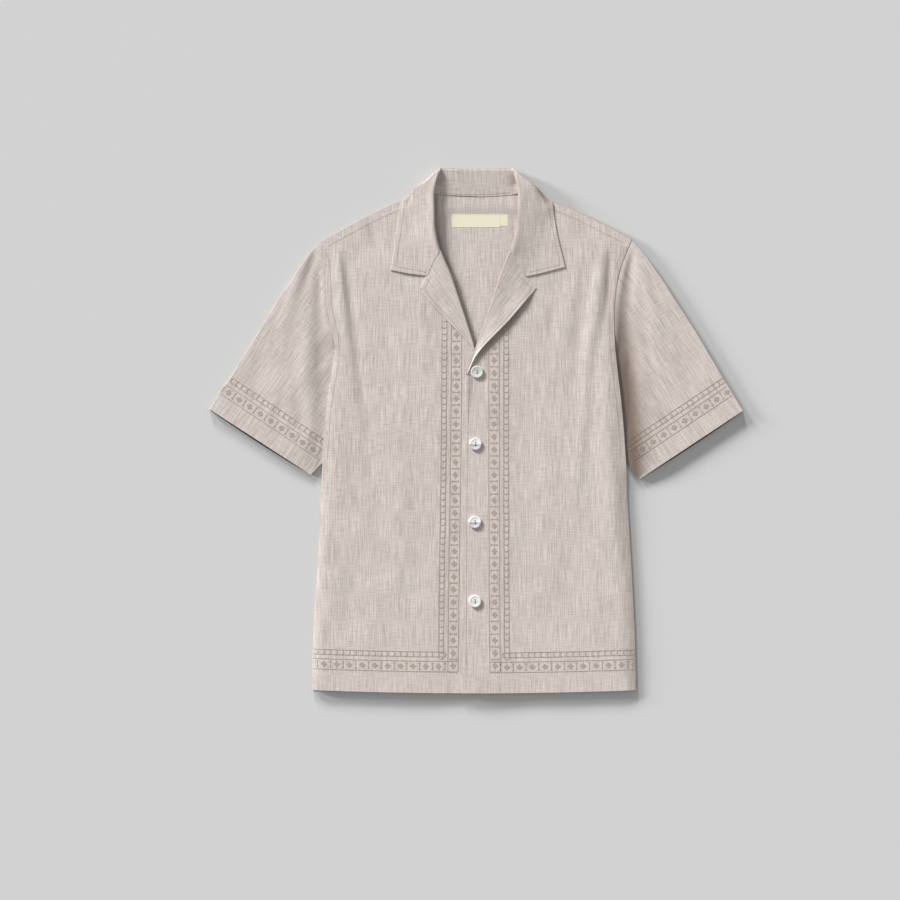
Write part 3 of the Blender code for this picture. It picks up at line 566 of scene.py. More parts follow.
def front_grid(side):
    """Outer face of a front: columns from the side seam or armhole to the front edge, closer
    together at both, and rows from the hem to the shoulder seam. The face rounds down to the
    side seam as a quarter of an ellipse. Also gives each point's painted shade."""
    sign = SIGN[side]
    even = np.linspace(0, 1, FRONT_COLUMNS)
    u = even + COLUMN_DRAW * np.sin(2 * math.pi * (even - 0.5))
    u = (u - u[0]) / (u[-1] - u[0])

    def x_at(y):
        """Each column's x at a height: its share of the way from the side to the front edge."""
        edge = along(FRONT_EDGES, y)[..., COLUMN[side]]
        outline = side_x(y, side) - sign * SEAM * ease(y, *ARMHOLE_Y)
        return outline + (edge - outline) * u

    y_seam = np.full(len(u), NECK_POINT_Y)
    for _ in range(SETTLING_ROUNDS):
        y_seam = shoulder_y(x_at(y_seam), side) - SHOULDER_STRIP - SEAM / 2
        y_seam = np.minimum(y_seam, NECK_POINT_Y)
    low = np.linspace(HEM_Y, TOP_ROWS_Y, FRONT_ROWS)[:, None] * np.ones(len(u))
    high = TOP_ROWS_Y + (y_seam - TOP_ROWS_Y) * np.linspace(0, 1, FRONT_TOP_ROWS)[1:, None]
    y = np.concatenate([low, high])
    x = x_at(y)
    y_laid = y + hem_curve(x, y)

    from_side = np.clip(np.abs(x - side_x(y, side)) / SIDE_ROUND[side], 0, 1)
    beside_sleeve = BESIDE_SLEEVE[side] * (1 - ease(y, *BESIDE_SLEEVE_Y))
    side_top = SIDE_TOP + (OVER_SLEEVE + beside_sleeve) * ease(y, *OVER_SLEEVE_Y)
    side_top = side_top + ARMHOLE_RISE * ease(y, *ARMHOLE_RISE_Y)
    rounded = 1 - (1 - from_side) ** 2
    drop = 1 - ease(y, *ROUND_TOP_Y)
    top = front_top(x, y_laid, side)
    top = top * (1 - drop) + (side_top + (top - side_top) * rounded) * drop
    grid = np.stack([x, y_laid, top], axis=-1)

    painted_shade = -TROUGH_SHADE * creased(x, y_laid, FRONT_CREASES[side])
    painted_shade += SIDE_SHADE[side] * (1 - from_side) ** 1.5
    if side == "left":
        painted_shade = np.maximum(painted_shade, crease(x, y_laid, UNDER_LAPEL))
    return (grid, painted_shade) if side == "right" else (grid[:, ::-1], painted_shade[:, ::-1])


fronts = {}
for worn_side in WORN_SIDES:
    front_points, front_painted_shade = front_grid(worn_side)
    fronts[worn_side] = cloth(f"front_panel_{worn_side}", front_points, painted_shade=front_painted_shade)
    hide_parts(f"front_{worn_side}")
    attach(fronts[worn_side], "root")


# Sleeves

# Short, wide sleeves of the same linen, each a tube sewn into its armhole and pressed flat:
# folded along the top, with the underarm seam below, partly under the side of the body.

SLEEVE_ROWS = 84
SLEEVE_COLUMNS = 96
SEAM_COLUMNS = (0, 0.003)   # shares of the width close to each fold
EVEN_COLUMNS_FROM = 0.012   # the even columns start here
SLEEVE_TOP = 4.8            # outer face of the upper layer over the surface
TUCKED_TOP = 2.3            # the same where the sleeve slips under the side of the body
TUCKED_REACH = (3, 46)      # distances from the seam over which it rises to its full height
SLEEVE_LEAST = 1.75         # a trough never presses the upper layer lower than this
SLEEVE_TUCK = 5.0           # the sleeve reaches this far under the body's side
SLEEVE_TUCK_TOP_Y = (104, 116)
SLEEVE_TUCK_LOW = (-1, 30)  # heights over the underarm's end over which the tuck sets in
BESIDE_TOP_Y = (112, 150)   # above these the sleeve is level with the front at its seam
UNDERARM_RADIUS = 1.35
UNDERARM_GAIN = 0.6         # in height from the armhole to the cuff
UNDERARM_PINCH = (0.75, 1.0)    # shares of the width over which the tube flattens to that
SLEEVE_ROLLING = 0.6        # share of the body's rolling
FOLDS_FROM_SEAM = (0, 14)   # distances from the seam over which the creases set in

# Outer edges of the sleeves, shoulder to cuff: share of the length, right x, y, left x, y
SLEEVE_OUTER = (
    (0.00, -218.7, 262.5, 216.7, 267.5),
    (0.10, -235.5, 245.5, 231.0, 252.0),
    (0.25, -259.5, 212.0, 256.0, 218.0),
    (0.40, -282.0, 176.0, 278.0, 183.5),
    (0.60, -311.0, 128.0, 309.5, 134.5),
    (0.80, -341.5, 80.0, 341.5, 80.5),
    (1.00, -373.5, 30.0, 373.5, 28.0),
)
CUFF_CORNER = {"right": (-230.5, -62.5), "left": (228.5, -68.0)}
UNDERARM_END = {"right": (-217.0, -46.0), "left": (210.5, -45.0)}
SLEEVE_GRAIN = {"right": -33.8, "left": 33.8}

# Creases of the sleeves: x, y, half width, height
SLEEVE_CREASES = {
    "right": (
        ((-222, 262, 4, 0.0), (-229, 236, 6, -1.1), (-240, 205, 7, -0.8), (-250, 176, 8, 0.0)),
        ((-232, 256, 5, 0.0), (-247, 218, 8, 1.0), (-262, 172, 9, 0.8), (-276, 130, 9, 0.0)),
        ((-214, 240, 6, 0.0), (-219, 200, 9, -1.3), (-220, 130, 10, -1.5), (-220, 60, 10, -1.3),
         (-226, 0, 9, 0.0)),
        ((-236, 150, 8, 0.0), (-240, 90, 9, 0.8), (-244, 30, 9, 0.0)),
        ((-250, 70, 8, 0.0), (-249, 32, 9, -0.7), (-246, -10, 9, 0.0)),
        ((-300, 120, 10, 0.0), (-306, 80, 12, -0.5), (-322, 36, 10, 0.0)),
        ((-280, 70, 8, 0.0), (-288, 30, 9, 0.5), (-296, -4, 8, 0.0)),
    ),
    "left": (
        ((218, 258, 4, 0.0), (214, 222, 7, -1.9), (210, 160, 10, -2.4), (210, 90, 13, -2.4),
         (214, 20, 13, -1.9), (222, -30, 11, 0.0)),
        ((222, 256, 5, 0.0), (234, 214, 8, 1.0), (250, 160, 9, 0.9), (262, 108, 9, 0.0)),
        ((232, 120, 7, 0.0), (236, 70, 9, 0.8), (243, 10, 9, 0.0)),
        ((276, 140, 9, 0.0), (288, 90, 12, -0.6), (302, 30, 10, 0.0)),
        ((256, 70, 8, 0.0), (262, 20, 9, -0.5), (268, -20, 8, 0.0)),
        ((318, 110, 9, 0.0), (326, 74, 10, 0.4), (336, 40, 8, 0.0)),
    ),
}

# Shade in the hollow where a sleeve runs under the body: distance from the body's side, how
# deep on the wearer's right, on the left
BESIDE_BODY = (
    (-4.0, 0.04, 0.58),
    (0.0, 0.04, 0.70),
    (4.0, 0.05, 0.88),
    (9.0, 0.06, 0.95),
    (14.0, 0.05, 0.92),
    (18.0, 0.03, 0.82),
    (22.0, 0.02, 0.66),
    (28.0, 0.0, 0.40),
    (36.0, 0.0, 0.18),
    (46.0, 0.0, 0.0),
)
BESIDE_BODY_Y = (70, 245)   # that shade dies out here
ARMHOLE_BLEND = 10.0        # distance from the seam over which the sleeve meets the front's face
ARMHOLE_STEP = {"right": 0.15, "left": 0.5}     # down from that face at the seam
ARMHOLE_TUCK = (1.2, 0.4)   # of the seam allowance under the front: across, down
LEAST_TUCK = 0.25           # of the same allowance all round the tube
HELD_V = (0.01, 0.06)       # shares of the width, from the outer fold, where the tuck sets in
HELD_Y = (90, 116)          # and heights: below, the sleeve is under the body anyway
EDGE_SHADE = 0.7            # painted shade on a fold that stands steeply to the surface
CUFF_LIGHT = 0.7            # share of the shade that is gone at the cuff
CUFF_LIGHT_U = (0.9, 0.98)  # shares of the length over which it goes
CUFF_INSIDE_U = (0.97, 0.99)    # the lower layer is in full shade past these
FOLD_SHARE = 0.25           # a fold's width as a share of its half height
FOLD_TURN = 72              # degrees to either side that a fold is rounded
FOLD_COLUMNS = 9
CUFF_PEEK = 2.4             # that the lower layer reaches beyond the upper one at the cuff
PEEK_U = (0.9, 1.0)         # shares of the length over which that sets in
PEEK_END = 1 / 1.06         # share of the width where it ends


def beside_body(x, y, side):
    """How much painted shade a point of a sleeve gets in the hollow beside the body."""
    beyond = (x - side_x(y, side)) * SIGN[side]
    return along(BESIDE_BODY, beyond)[..., COLUMN[side]] * (1 - ease(y, *BESIDE_BODY_Y))


def half_round(edge, inward, height, angles):
    """Points round a flattened tube's fold: half an ellipse as high as the tube, inwards from
    its edge by a small share of that height."""
    radius = height[:, None, None] / 2
    a = np.radians(angles)[None, :, None]
    flat = edge[:, None] + inward[:, None] * radius * FOLD_SHARE * (1 - np.cos(a))
    return np.concatenate([flat, radius + radius * np.sin(a)], axis=-1)


def sleeve_grid(side):
    """Outer face of a flat tube: half round the outer fold, across the upper layer, half round
    the underarm and back along the surface. Rows run from the armhole to the cuff, u, and
    columns from the outer fold to the underarm, v: straight lines between the armhole and the
    cuff, bulged by what the outer edge leaves its chord. Also gives each point's painted shade."""
    sign = SIGN[side]
    own = slice(2 * COLUMN[side], 2 * COLUMN[side] + 2)
    end, corner = UNDERARM_END[side], CUFF_CORNER[side]
    u = np.linspace(0, 1, SLEEVE_ROWS)[:, None]
    seam_columns = np.array(SEAM_COLUMNS)
    even = np.linspace(EVEN_COLUMNS_FROM, 1 - EVEN_COLUMNS_FROM, SLEEVE_COLUMNS)
    v = np.concatenate([seam_columns, even, 1 - seam_columns[::-1]])
    outer_start, outer_end = along(SLEEVE_OUTER, 0.0)[own], along(SLEEVE_OUTER, 1.0)[own]
    bulge = along(SLEEVE_OUTER, u)[:, 0, own] - (outer_start + (outer_end - outer_start) * u)
    y0 = outer_start[1] + (end[1] - outer_start[1]) * v
    tuck = (SLEEVE_TUCK + SEAM) * (1 - ease(y0, *SLEEVE_TUCK_TOP_Y))
    tuck = tuck * ease(y0 - end[1], *SLEEVE_TUCK_LOW)
    x0 = side_x(y0, side) + sign * (SEAM - tuck)
    x1 = outer_end[0] + (corner[0] - outer_end[0]) * v
    y1 = outer_end[1] + (corner[1] - outer_end[1]) * v
    x = x0 + (x1 - x0) * u + bulge[:, :1] * (1 - v) ** 2
    y = y0 + (y1 - y0) * u + bulge[:, 1:] * (1 - v) ** 2

    near_body = np.hypot(x - x0, y - y0)
    beside = 1 - ease(y0, *BESIDE_TOP_Y)
    low_top = TUCKED_TOP + (SLEEVE_TOP - TUCKED_TOP) * ease(near_body, *TUCKED_REACH)
    top = SLEEVE_TOP * (1 - beside) + low_top * beside
    pinch = ease(v, *UNDERARM_PINCH)
    top = top * (1 - pinch) + np.minimum(top, 2 * UNDERARM_RADIUS + UNDERARM_GAIN * u) * pinch
    folds = creased(x, y, SLEEVE_CREASES[side]) + SLEEVE_ROLLING * rolling(x, y)
    folded = (1 - pinch) * ease(near_body, *FOLDS_FROM_SEAM)
    top = np.maximum(top + folds * folded, SLEEVE_LEAST)
    flush = (1 - beside) * (1 - ease(near_body, 0, ARMHOLE_BLEND))
    top = top * (1 - flush) + (front_top(x, y, side) - ARMHOLE_STEP[side]) * flush

    ring = np.stack([x, y], axis=-1)
    way = np.gradient(ring, axis=1)
    way /= np.linalg.norm(way, axis=2, keepdims=True)
    angles = np.linspace(-FOLD_TURN, FOLD_TURN, FOLD_COLUMNS)
    outer_fold = half_round(ring[:, 0], way[:, 0], top[:, 0], angles)
    underarm = half_round(ring[:, -1], -way[:, -1], top[:, -1], angles[::-1])
    upper = np.concatenate([ring, top[..., None]], axis=-1)[:, 1:-1]
    outward = np.stack([x1 - x0, y1 - y0], axis=-1)
    outward /= np.linalg.norm(outward, axis=1, keepdims=True)
    peek = np.sin(math.pi * np.clip(v / PEEK_END, 0, 1)) ** 0.5 * CUFF_PEEK * ease(u, *PEEK_U)
    under = (ring + outward * peek[..., None])[:, 1:-1][:, ::-2]
    lower = np.concatenate([under, np.zeros(under[..., :1].shape)], axis=-1)
    grid = np.concatenate([outer_fold, upper, underarm, lower], axis=1)

    # Painted shade: in the hollow beside the body, in troughs, on both folds and inside the cuff.
    painted_upper_shade = beside_body(x, y, side) * (1 - CUFF_LIGHT * ease(u, *CUFF_LIGHT_U))
    painted_upper_shade = np.maximum(painted_upper_shade, -TROUGH_SHADE * folds)
    on_top = slice(FOLD_COLUMNS, FOLD_COLUMNS + len(v) - 2)
    painted_shade = np.full(grid.shape[:2], EDGE_SHADE)
    painted_shade[:, on_top] = painted_upper_shade[:, 1:-1]
    painted_shade[:, -lower.shape[1]:] = ease(u, *CUFF_INSIDE_U)

    held = ease(v, *HELD_V) * ease(y0, *HELD_Y)
    allowance = np.array([-sign * LEAST_TUCK, 0, 0]) * np.ones(grid[:1].shape)
    allowance[0, on_top, 0] -= sign * ARMHOLE_TUCK[0] * held[1:-1]
    allowance[0, on_top, 2] -= ARMHOLE_TUCK[1] * held[1:-1]
    grid = np.concatenate([grid[:1] + allowance, grid])
    painted_shade = np.concatenate([painted_shade[:1], painted_shade])
    return (grid, painted_shade) if side == "left" else (grid[:, ::-1], painted_shade[:, ::-1])


sleeves = {}
for worn_side in WORN_SIDES:
    sleeve_points, sleeve_painted_shade = sleeve_grid(worn_side)
    sleeves[worn_side] = cloth(f"sleeve_tube_{worn_side}", sleeve_points,
                               SLEEVE_GRAIN[worn_side], tube=True, painted_shade=sleeve_painted_shade)
    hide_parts(f"sleeve_{worn_side}")
    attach(sleeves[worn_side], "root")


# Collar

# The camp collar is one interfaced piece of linen: the stand rises from the neck seam, rolls
# over, and falls outside. Behind the neck the fall lies under the back, and its two leaves lie
# on the fronts.

COLLAR_WALL = 0.9
LAID = 1.15                 # of the collar's outer face over the front that it lies on
COLLAR_ROWS = 181
COLLAR_COLUMNS = 73
LAST_ROW = 0.02             # of a section, close to the gorge seam
LAST_COLUMN = 0.03          # of a guide, close to the fall's edge
LEAF_FROM = 7               # the section from which the leaf has its own corner
ROLL_DRIFT = -1.4           # of the stand and the roll at the gorge, across
CORNER_SHIFT = (2.0, 2.2)   # of the leaves' outer corners: across, and up or down
OUTLINE_SHADE = 0.6         # painted shade where the collar turns under
ROLL_SHADE = {"right": 0.3, "left": 0.48}   # and on its inner roll
# Where things set in or die out. AT counts sections from the middle of the back, and CUT counts
# columns of the table below, from the neck seam.
STRAIGHT_CUT = (2.5, 3.2)   # of the leaf's lower edge
CARRIED_AT = (4.8, 5.4)     # the fronts carry the collar from here on
CARRIED_CUT = (2.2, 2.5)
UNDER_BACK_AT = 6.1         # up to here the fall's edge isn't carried: it runs under the back
UNDER_BACK_CUT = 4.2
DRIFT_CUT = (3, 4)          # the drift dies out here
CORNER_CUT = (4, 6)         # and the shift of a leaf's corner sets in here
TURNED_CUT = (2.8, 3.4)     # the collar turns under here
TURNED_LATER = 0.8          # by so many columns beside the neck
TURNED_LATER_AT = (2, 3.2)
TURNED_END_AT = (5.0, 5.6)  # from here the leaf's edge lies open
TURNED_END_LATER = 0.7      # by so many sections on the fall
TURNED_END_CUT = (4.2, 4.7)
ROLL_AT = (1.5, 2.3)        # the inner roll's shade sets in and ends here
ROLL_CUT = (0.6, 1.0)
ROLL_END_CUT = (1.4, 2.4)
ROLL_END_LATER = 1.1        # by so many columns behind the neck
ROLL_END_AT = (2.8, 3.6)

# One half of the collar, from the middle of the back round to the gorge seam. A row is a
# section: neck seam, stand, roll, slope, outer fold, fall and edge, each as distance from the
# middle, height on the shirt and z.
COLLAR = (
    ((0, 327.2, 2.25), (0, 343, 3.4), (0, 360, 4.5), (0, 364.8, 4.6),
     (0, 366.0, 3.0), (0, 360, 0), (0, 316, 0)),
    ((26, 328.0, 2.25), (26, 343.5, 3.4), (26, 360, 4.6), (26, 365.0, 4.7),
     (26, 366.2, 3.1), (27, 360, 0), (28, 316, 0)),
    ((49, 330.0, 2.4), (47.5, 345, 3.8), (46.0, 360, 5.2), (46.6, 365.4, 5.3),
     (47.6, 366.8, 3.6), (49, 360, 0), (53, 316, 0)),
    ((57.5, 331.6, 3.2), (55.5, 347, 5.2), (51.0, 360.5, 9.0), (52.0, 363.6, 9.6),
     (54.6, 363.0, 8.6), (60, 356, 0), (68, 316, 0)),
    ((63, 332, 4.4), (58.4, 340, 8.2), (57.0, 345.5, 11.1), (62, 349.2, 11.0),
     (70.6, 349.6, 9.9), (75, 343, 1.0), (84, 319, 0)),
    ((66, 322, 5.2), (58.6, 325, 9.2), (60.4, 327, 11.4), (69, 331, 10.9),
     (84.6, 337.0, 9.9), (91.0, 333.2, 4.6), (97, 322, 0)),
    ((65.5, 300, 5.6), (58.0, 303, 9.4), (60.6, 304, 11.5), (71, 307, 10.4),
     (89, 312.5, 9.0), (100, 317.0, 8.0), (105.6, 319.6, 6.4)),
    ((64.5, 283, 6.2), (57.0, 285, 9.4), (60, 286, 11.4), (71, 287, 10.0),
     (89, 290, 7.8), (101, 293, 6.8), (109, 297, 6.4)),
    ((60.5, 265, 7.4), (53.2, 266, 9.2), (56.5, 266, 11.1), (67, 263, 9.6),
     (86, 259, 7.5), (102, 258, 6.7), (115.5, 258, 6.3)),
    ((54.0, 254, 8.2), (48.8, 252.6, 9.0), (51.5, 247.6, 10.0), (57.8, 236.6, 8.3),
     (68.5, 215.4, 6.7), (94, 220, 6.6), (122, 226.4, 6.3)),
)


def collar_grid():
    """Outer face of the collar: smooth curves through the table's sections, first along the
    collar and then round each section, straighter at the leaf's lower edge, and laid on the
    fronts' own surface where they carry it. Also gives each point's painted shade. In it,
    away counts the sections from the middle of the back, and cut the columns of the table."""
    half = np.array(COLLAR, float)
    rows = np.concatenate([half[:0:-1] * np.array([-1, 1, 1]), half])
    last = len(COLLAR) - 1
    station = np.append(np.linspace(-last, last, COLLAR_ROWS), [LAST_ROW - last, last - LAST_ROW])
    station = np.sort(station)
    knots = np.column_stack([np.arange(-last, last + 1), rows.reshape(len(rows), -1)])
    sections = along(knots, station).reshape(len(station), rows.shape[1], 3)
    guides = sections.transpose(1, 0, 2)
    guide = np.arange(len(guides), dtype=float)
    cut = np.append(np.linspace(0, guide[-1], COLLAR_COLUMNS), guide[-1] - LAST_COLUMN)
    cut = np.sort(cut)
    by_guide = np.column_stack([guide, guides.reshape(len(guide), -1)])
    smooth = along(by_guide, cut).reshape(len(cut), len(station), 3)
    k = np.minimum(cut.astype(int), len(guide) - 2)
    part = (cut - k)[:, None, None]
    straight = guides[k] * (1 - part) + guides[k + 1] * part
    away, cut, on_left = np.abs(station)[None, :], cut[:, None], station > 0
    lower_edge = ease(away, last - 1, last) * ease(cut, *STRAIGHT_CUT)
    grid = smooth + (straight - smooth) * lower_edge[..., None]

    on_front = ease(away, *CARRIED_AT) * ease(cut, *CARRIED_CUT)
    laid = each_side(lambda side: front_top(grid[..., 0], grid[..., 1], side), on_left) + LAID
    laid = np.where((cut > UNDER_BACK_CUT) & (away < UNDER_BACK_AT), 0, laid)
    grid[..., 2] = np.maximum(np.maximum(grid[..., 2], laid * on_front), 0)
    drift = ease(away, LEAF_FROM - 1, last) * (1 - ease(cut, *DRIFT_CUT))
    grid[..., 0] += ROLL_DRIFT * drift
    uneven = ease(away, LEAF_FROM, last) * ease(cut, *CORNER_CUT) * np.sign(station)
    grid[..., 0] += CORNER_SHIFT[0] * np.abs(uneven)
    grid[..., 1] += CORNER_SHIFT[1] * uneven

    turned = ease(cut - TURNED_LATER * ease(away, *TURNED_LATER_AT), *TURNED_CUT)
    turned = turned * (1 - ease(away - TURNED_END_LATER * ease(cut, *TURNED_END_CUT),
                                *TURNED_END_AT))
    roll_end = ease(cut - ROLL_END_LATER * (1 - ease(away, *ROLL_END_AT)), *ROLL_END_CUT)
    rolled = ease(cut, *ROLL_CUT) * (1 - roll_end) * ease(away, *ROLL_AT)
    return grid, OUTLINE_SHADE * turned + each_side(ROLL_SHADE.get, on_left) * rolled


collar_points, collar_painted_shade = collar_grid()
collar = cloth("camp_collar", collar_points, wall=COLLAR_WALL, painted_shade=collar_painted_shade,
               round_below_x=0.0)
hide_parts("collar")
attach(collar, "root")


# Lapels

# The fronts' facings, turned out above the top button. Each rolls round the front's edge, lies
# on the front, and meets the collar's leaf at the gorge seam, with a notch beyond it.

LAPEL_START_Y = 250.9
LAPEL_TIP_Y = {"right": 112.0, "left": 79.0}
LAPEL_ROWS = 72
ROWS_DRAW = 1.25            # power that draws the rows closer together at the gorge
LAPEL_COLUMNS = 44
LAPEL_LIFT = {"right": 0.5, "left": 2.2}    # of the outer edge, half way down
LIFT_FROM = (0.02, 0.2)     # shares of the lapel's length over which it sets in
LIFT_TO = (0.86, 1.0)       # and over which it dies out
LAPEL_WRAP_Y = (112.0, 140.0)   # above these the roll is wrapped right round the front's edge
LAPEL_TAIL = 2.2            # length of the facing under the front
TAIL_DROP = 0.4             # of its start where the roll isn't wrapped
ROLL_RADIUS = 1.7
ROLL_COLUMNS = 13
ROLL_OVER = 48              # degrees that the roll turns past its outermost line
GORGE_TUCK = (1.8, 0.9, 0.5)    # outwards, up and down, of the row under the collar's leaf
TIP_SHADE = {"right": 0.0, "left": 0.3}     # more of the roll's shade towards the tip
TIP_SHADE_FROM = (0.7, 0.95)
ROLL_SHADE_EDGE = 0.5       # share of the shade on the two columns beside the roll
NOTCH_SHARE = 0.62          # of the top row, from the roll to the notch
NOTCH_FADE = 5              # power at which the notch's bend dies out down the lapel
LAPEL_GRAIN = {"right": 36.0, "left": -36.0}
LAPEL_NOTCH = {"right": (-69.2, 214.8), "left": (67.4, 214.9)}
# Outer edge from the peak down to the tip: share of the length, x, y
LAPEL_OUTER = {
    "right": (
        (0.0, -76.6, 198.4),
        (0.05, -74.6, 192.6),
        (0.1, -71.0, 187.5),
        (0.47, -41.5, 154.6),
        (0.93, -9.0, 119.8),
        (1.0, -4.2, 113.0),
    ),
    "left": (
        (0.0, 82.3, 198.4),
        (0.045, 79.0, 193.4),
        (0.09, 74.6, 188.2),
        (0.446, 40.0, 148.2),
        (0.62, 19.3, 127.4),
        (0.76, 5.6, 112.4),
        (0.86, -2.4, 101.4),
        (0.93, -7.4, 91.0),
        (1.0, -12.2, 79.0),
    ),
}


def lapel_grid(side):
    """Outer face of a lapel: a tail under the front's edge, part of a circle round it, and
    straight lines out to the outer edge, bent at the notch. Rows run from the gorge to the tip.
    Also gives each point's painted shade, on the roll and beside it."""
    sign = SIGN[side]
    share = (np.linspace(0, 1, LAPEL_ROWS) ** ROWS_DRAW)[:, None]
    y = LAPEL_START_Y + (LAPEL_TIP_Y[side] - LAPEL_START_Y) * share
    wrap = ease(y, *LAPEL_WRAP_Y)
    angle = np.radians((ROLL_OVER + 90 * wrap) * np.linspace(0, 1, ROLL_COLUMNS) - 90 * wrap)
    run = np.linspace(0, 1, LAPEL_COLUMNS)[None, :, None]
    roll = roll_x(y, side)
    centre = np.stack([roll + sign * ROLL_RADIUS, y], axis=-1)
    outer = along(LAPEL_OUTER[side], share)
    notch, peak = np.array(LAPEL_NOTCH[side]), np.array(LAPEL_OUTER[side][0][1:])
    to_notch, to_peak = run / NOTCH_SHARE, (run - NOTCH_SHARE) / (1 - NOTCH_SHARE)
    notched = np.where(to_notch < 1, centre + (notch - centre) * to_notch,
                       notch + (peak - notch) * to_peak)
    line = centre + (outer - centre) * run
    bend = notched - centre - (peak - centre) * run
    line = line + bend * ((1 - share) ** NOTCH_FADE)[..., None]

    height = front_top(line[..., 0], line[..., 1], side) + LAID
    crest = height[:, :1].copy()
    lifted = ease(share, *LIFT_FROM) * (1 - ease(share, *LIFT_TO))
    height += LAPEL_LIFT[side] * run[..., 0] ** 2 * lifted
    hook = np.stack([roll + sign * ROLL_RADIUS * (1 - np.cos(angle)),
                     y * np.ones(angle.shape),
                     crest - ROLL_RADIUS * (1 - np.sin(angle))], axis=-1)
    tail = np.stack([roll + sign * (ROLL_RADIUS + LAPEL_TAIL) * wrap, y,
                     crest - ROLL_RADIUS * (1 + wrap) - TAIL_DROP * (1 - wrap)], axis=-1)
    face = np.concatenate([line, height[..., None]], axis=-1)
    grid = np.concatenate([tail, hook, face], axis=1)
    tucked = grid[:1] + np.array([sign * GORGE_TUCK[0], GORGE_TUCK[1], -GORGE_TUCK[2]])
    grid = np.concatenate([tucked, grid])[::-1]

    towards_tip = np.append(share[::-1, 0], 0)[:, None]
    shade = ROLL_SHADE[side] + TIP_SHADE[side] * ease(towards_tip, *TIP_SHADE_FROM)
    painted_shade = np.zeros(grid.shape[:2])
    painted_shade[:, :ROLL_COLUMNS + 1] = shade
    painted_shade[:, ROLL_COLUMNS + 1:ROLL_COLUMNS + 3] = ROLL_SHADE_EDGE * shade
    return (grid, painted_shade) if side == "left" else (grid[:, ::-1], painted_shade[:, ::-1])


lapels = {}
for worn_side in WORN_SIDES:
    lapel_points, lapel_painted_shade = lapel_grid(worn_side)
    lapels[worn_side] = cloth(f"lapel_facing_{worn_side}", lapel_points,
                              LAPEL_GRAIN[worn_side], wall=COLLAR_WALL, painted_shade=lapel_painted_shade)
    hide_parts(f"lapel_{worn_side}")
    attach(lapels[worn_side], "root")


# Embroidered borders

# A common geometric border in a thread a little darker than the cloth: diamonds parted by
# serifed bars between two fine lines, and a row of rounded links beside it. It is stitched down
# both fronts, along their hem and across the sleeves.

PITCH = 17.8                    # from one diamond to the next
DIAMOND_HALF = (4.3, 4.5)       # across the band, along it
BAR_SIZE = (9.0, 1.1)           # across the band, along it
SERIF_SIZE = (1.2, 2.8)
LINE_WIDTH = 1.0
LINE_STEP = 3.0                 # length of a piece of line, so that it follows the creases
LINES_AT = (-7.4, 7.2)          # from the middle of the diamonds, + towards the links
LINKS_AT = (13.4, 20.2)
LINK_WIDTH = 1.35
LINK_SAG = 3.0
THREAD_HEIGHT = 0.2
THREAD_PALE = (0.50, 0.42, 0.375, 1.0)
THREAD_DARK = (0.37, 0.305, 0.265, 1.0)
TWIST_DEPTH = 0.15
THREAD_TWIST = (0.6, 1.6, 0.3, 0.7)     # width, length, noise of the dark end and of the pale
ABOVE_ALL = 40.0                # height from which the stitching is let down on the cloth


def thread_material(name, pale, dark):
    """Twisted cotton thread: short streaks in two close tones, with painted shade where the piece
    has it.
    """
    material, tree, shader = new_material(name, {"Roughness": 0.8, "Specular IOR Level": 0.2})
    place = tree.nodes.new("ShaderNodeTexCoord").outputs["Object"]
    streak = yarns(tree, place, THREAD_TWIST)
    colour = mixed(tree, "RGBA", streak, dark, pale)
    tree.links.new(with_painted_shade(tree, colour), shader.inputs["Base Color"])
    bumped(tree, shader, streak, TWIST_DEPTH)
    return material


def outline_ring(outline):
    """A flat motif as a fan: its middle and its outline, with one triangle to each side."""
    outline = np.array(outline, float)
    points = np.concatenate([outline.mean(axis=0, keepdims=True), outline])
    n = np.arange(len(outline))
    return points, np.stack([np.zeros(len(n), int), 1 + n, 1 + (n + 1) % len(n)], axis=1)


def upright_bar(middle, size):
    """A rectangle whose middle lies this far across the band."""
    corners = np.array(((-1, -1), (1, -1), (1, 1), (-1, 1))) * np.array(size) / 2
    return outline_ring(corners + np.array([middle, 0]))


def copies(motif, steps):
    """The motif repeated along the band, as one array of points and one of triangles."""
    points, faces = motif
    centres = np.column_stack([np.zeros(len(steps)), steps]).reshape(-1, 1, 2)
    shift = (np.arange(len(steps)) * len(points)).reshape(-1, 1, 1)
    return (points + centres).reshape(-1, 2), (faces + shift).reshape(-1, 3)


def directions(line):
    """Unit vectors along a line of points."""
    way = np.gradient(line, axis=0)
    return way / np.linalg.norm(way, axis=1, keepdims=True)


def ribbon(line, width):
    """A flat strip of this width along a line of points, as pairs of points left and right of it."""
    way = directions(line)
    side = np.stack([-way[:, 1], way[:, 0]], axis=1) * width / 2
    points = np.stack([line - side, line + side], axis=1).reshape(-1, 2)
    a = np.arange(len(line) - 1) * 2
    return points, np.concatenate([np.stack([a, a + 2, a + 1], axis=1),
                                   np.stack([a + 1, a + 2, a + 3], axis=1)])


def joined(parts):
    """Several parts as one array of points and one of faces."""
    points, faces, shift = [], [], 0
    for part_points, part_faces in parts:
        points.append(part_points)
        faces.append(part_faces + shift)
        shift += len(part_points)
    return np.concatenate(points), np.concatenate(faces)


def upwards(points, faces):
    """Triangles turned so that they all face up: twice a triangle's area, with its sign, is the
    cross product of its first side and its last."""
    a, b, c = (points[faces[:, n]] for n in range(3))
    first, last = b - a, c - a
    turned = first[:, 0] * last[:, 1] - first[:, 1] * last[:, 0] < 0
    return np.where(turned[:, None], faces[:, ::-1], faces)


def points_of(mesh):
    """A mesh's points in millimetres."""
    found = np.zeros(3 * len(mesh.vertices))
    mesh.vertices.foreach_get("co", found)
    return found.reshape(-1, 3) / MM


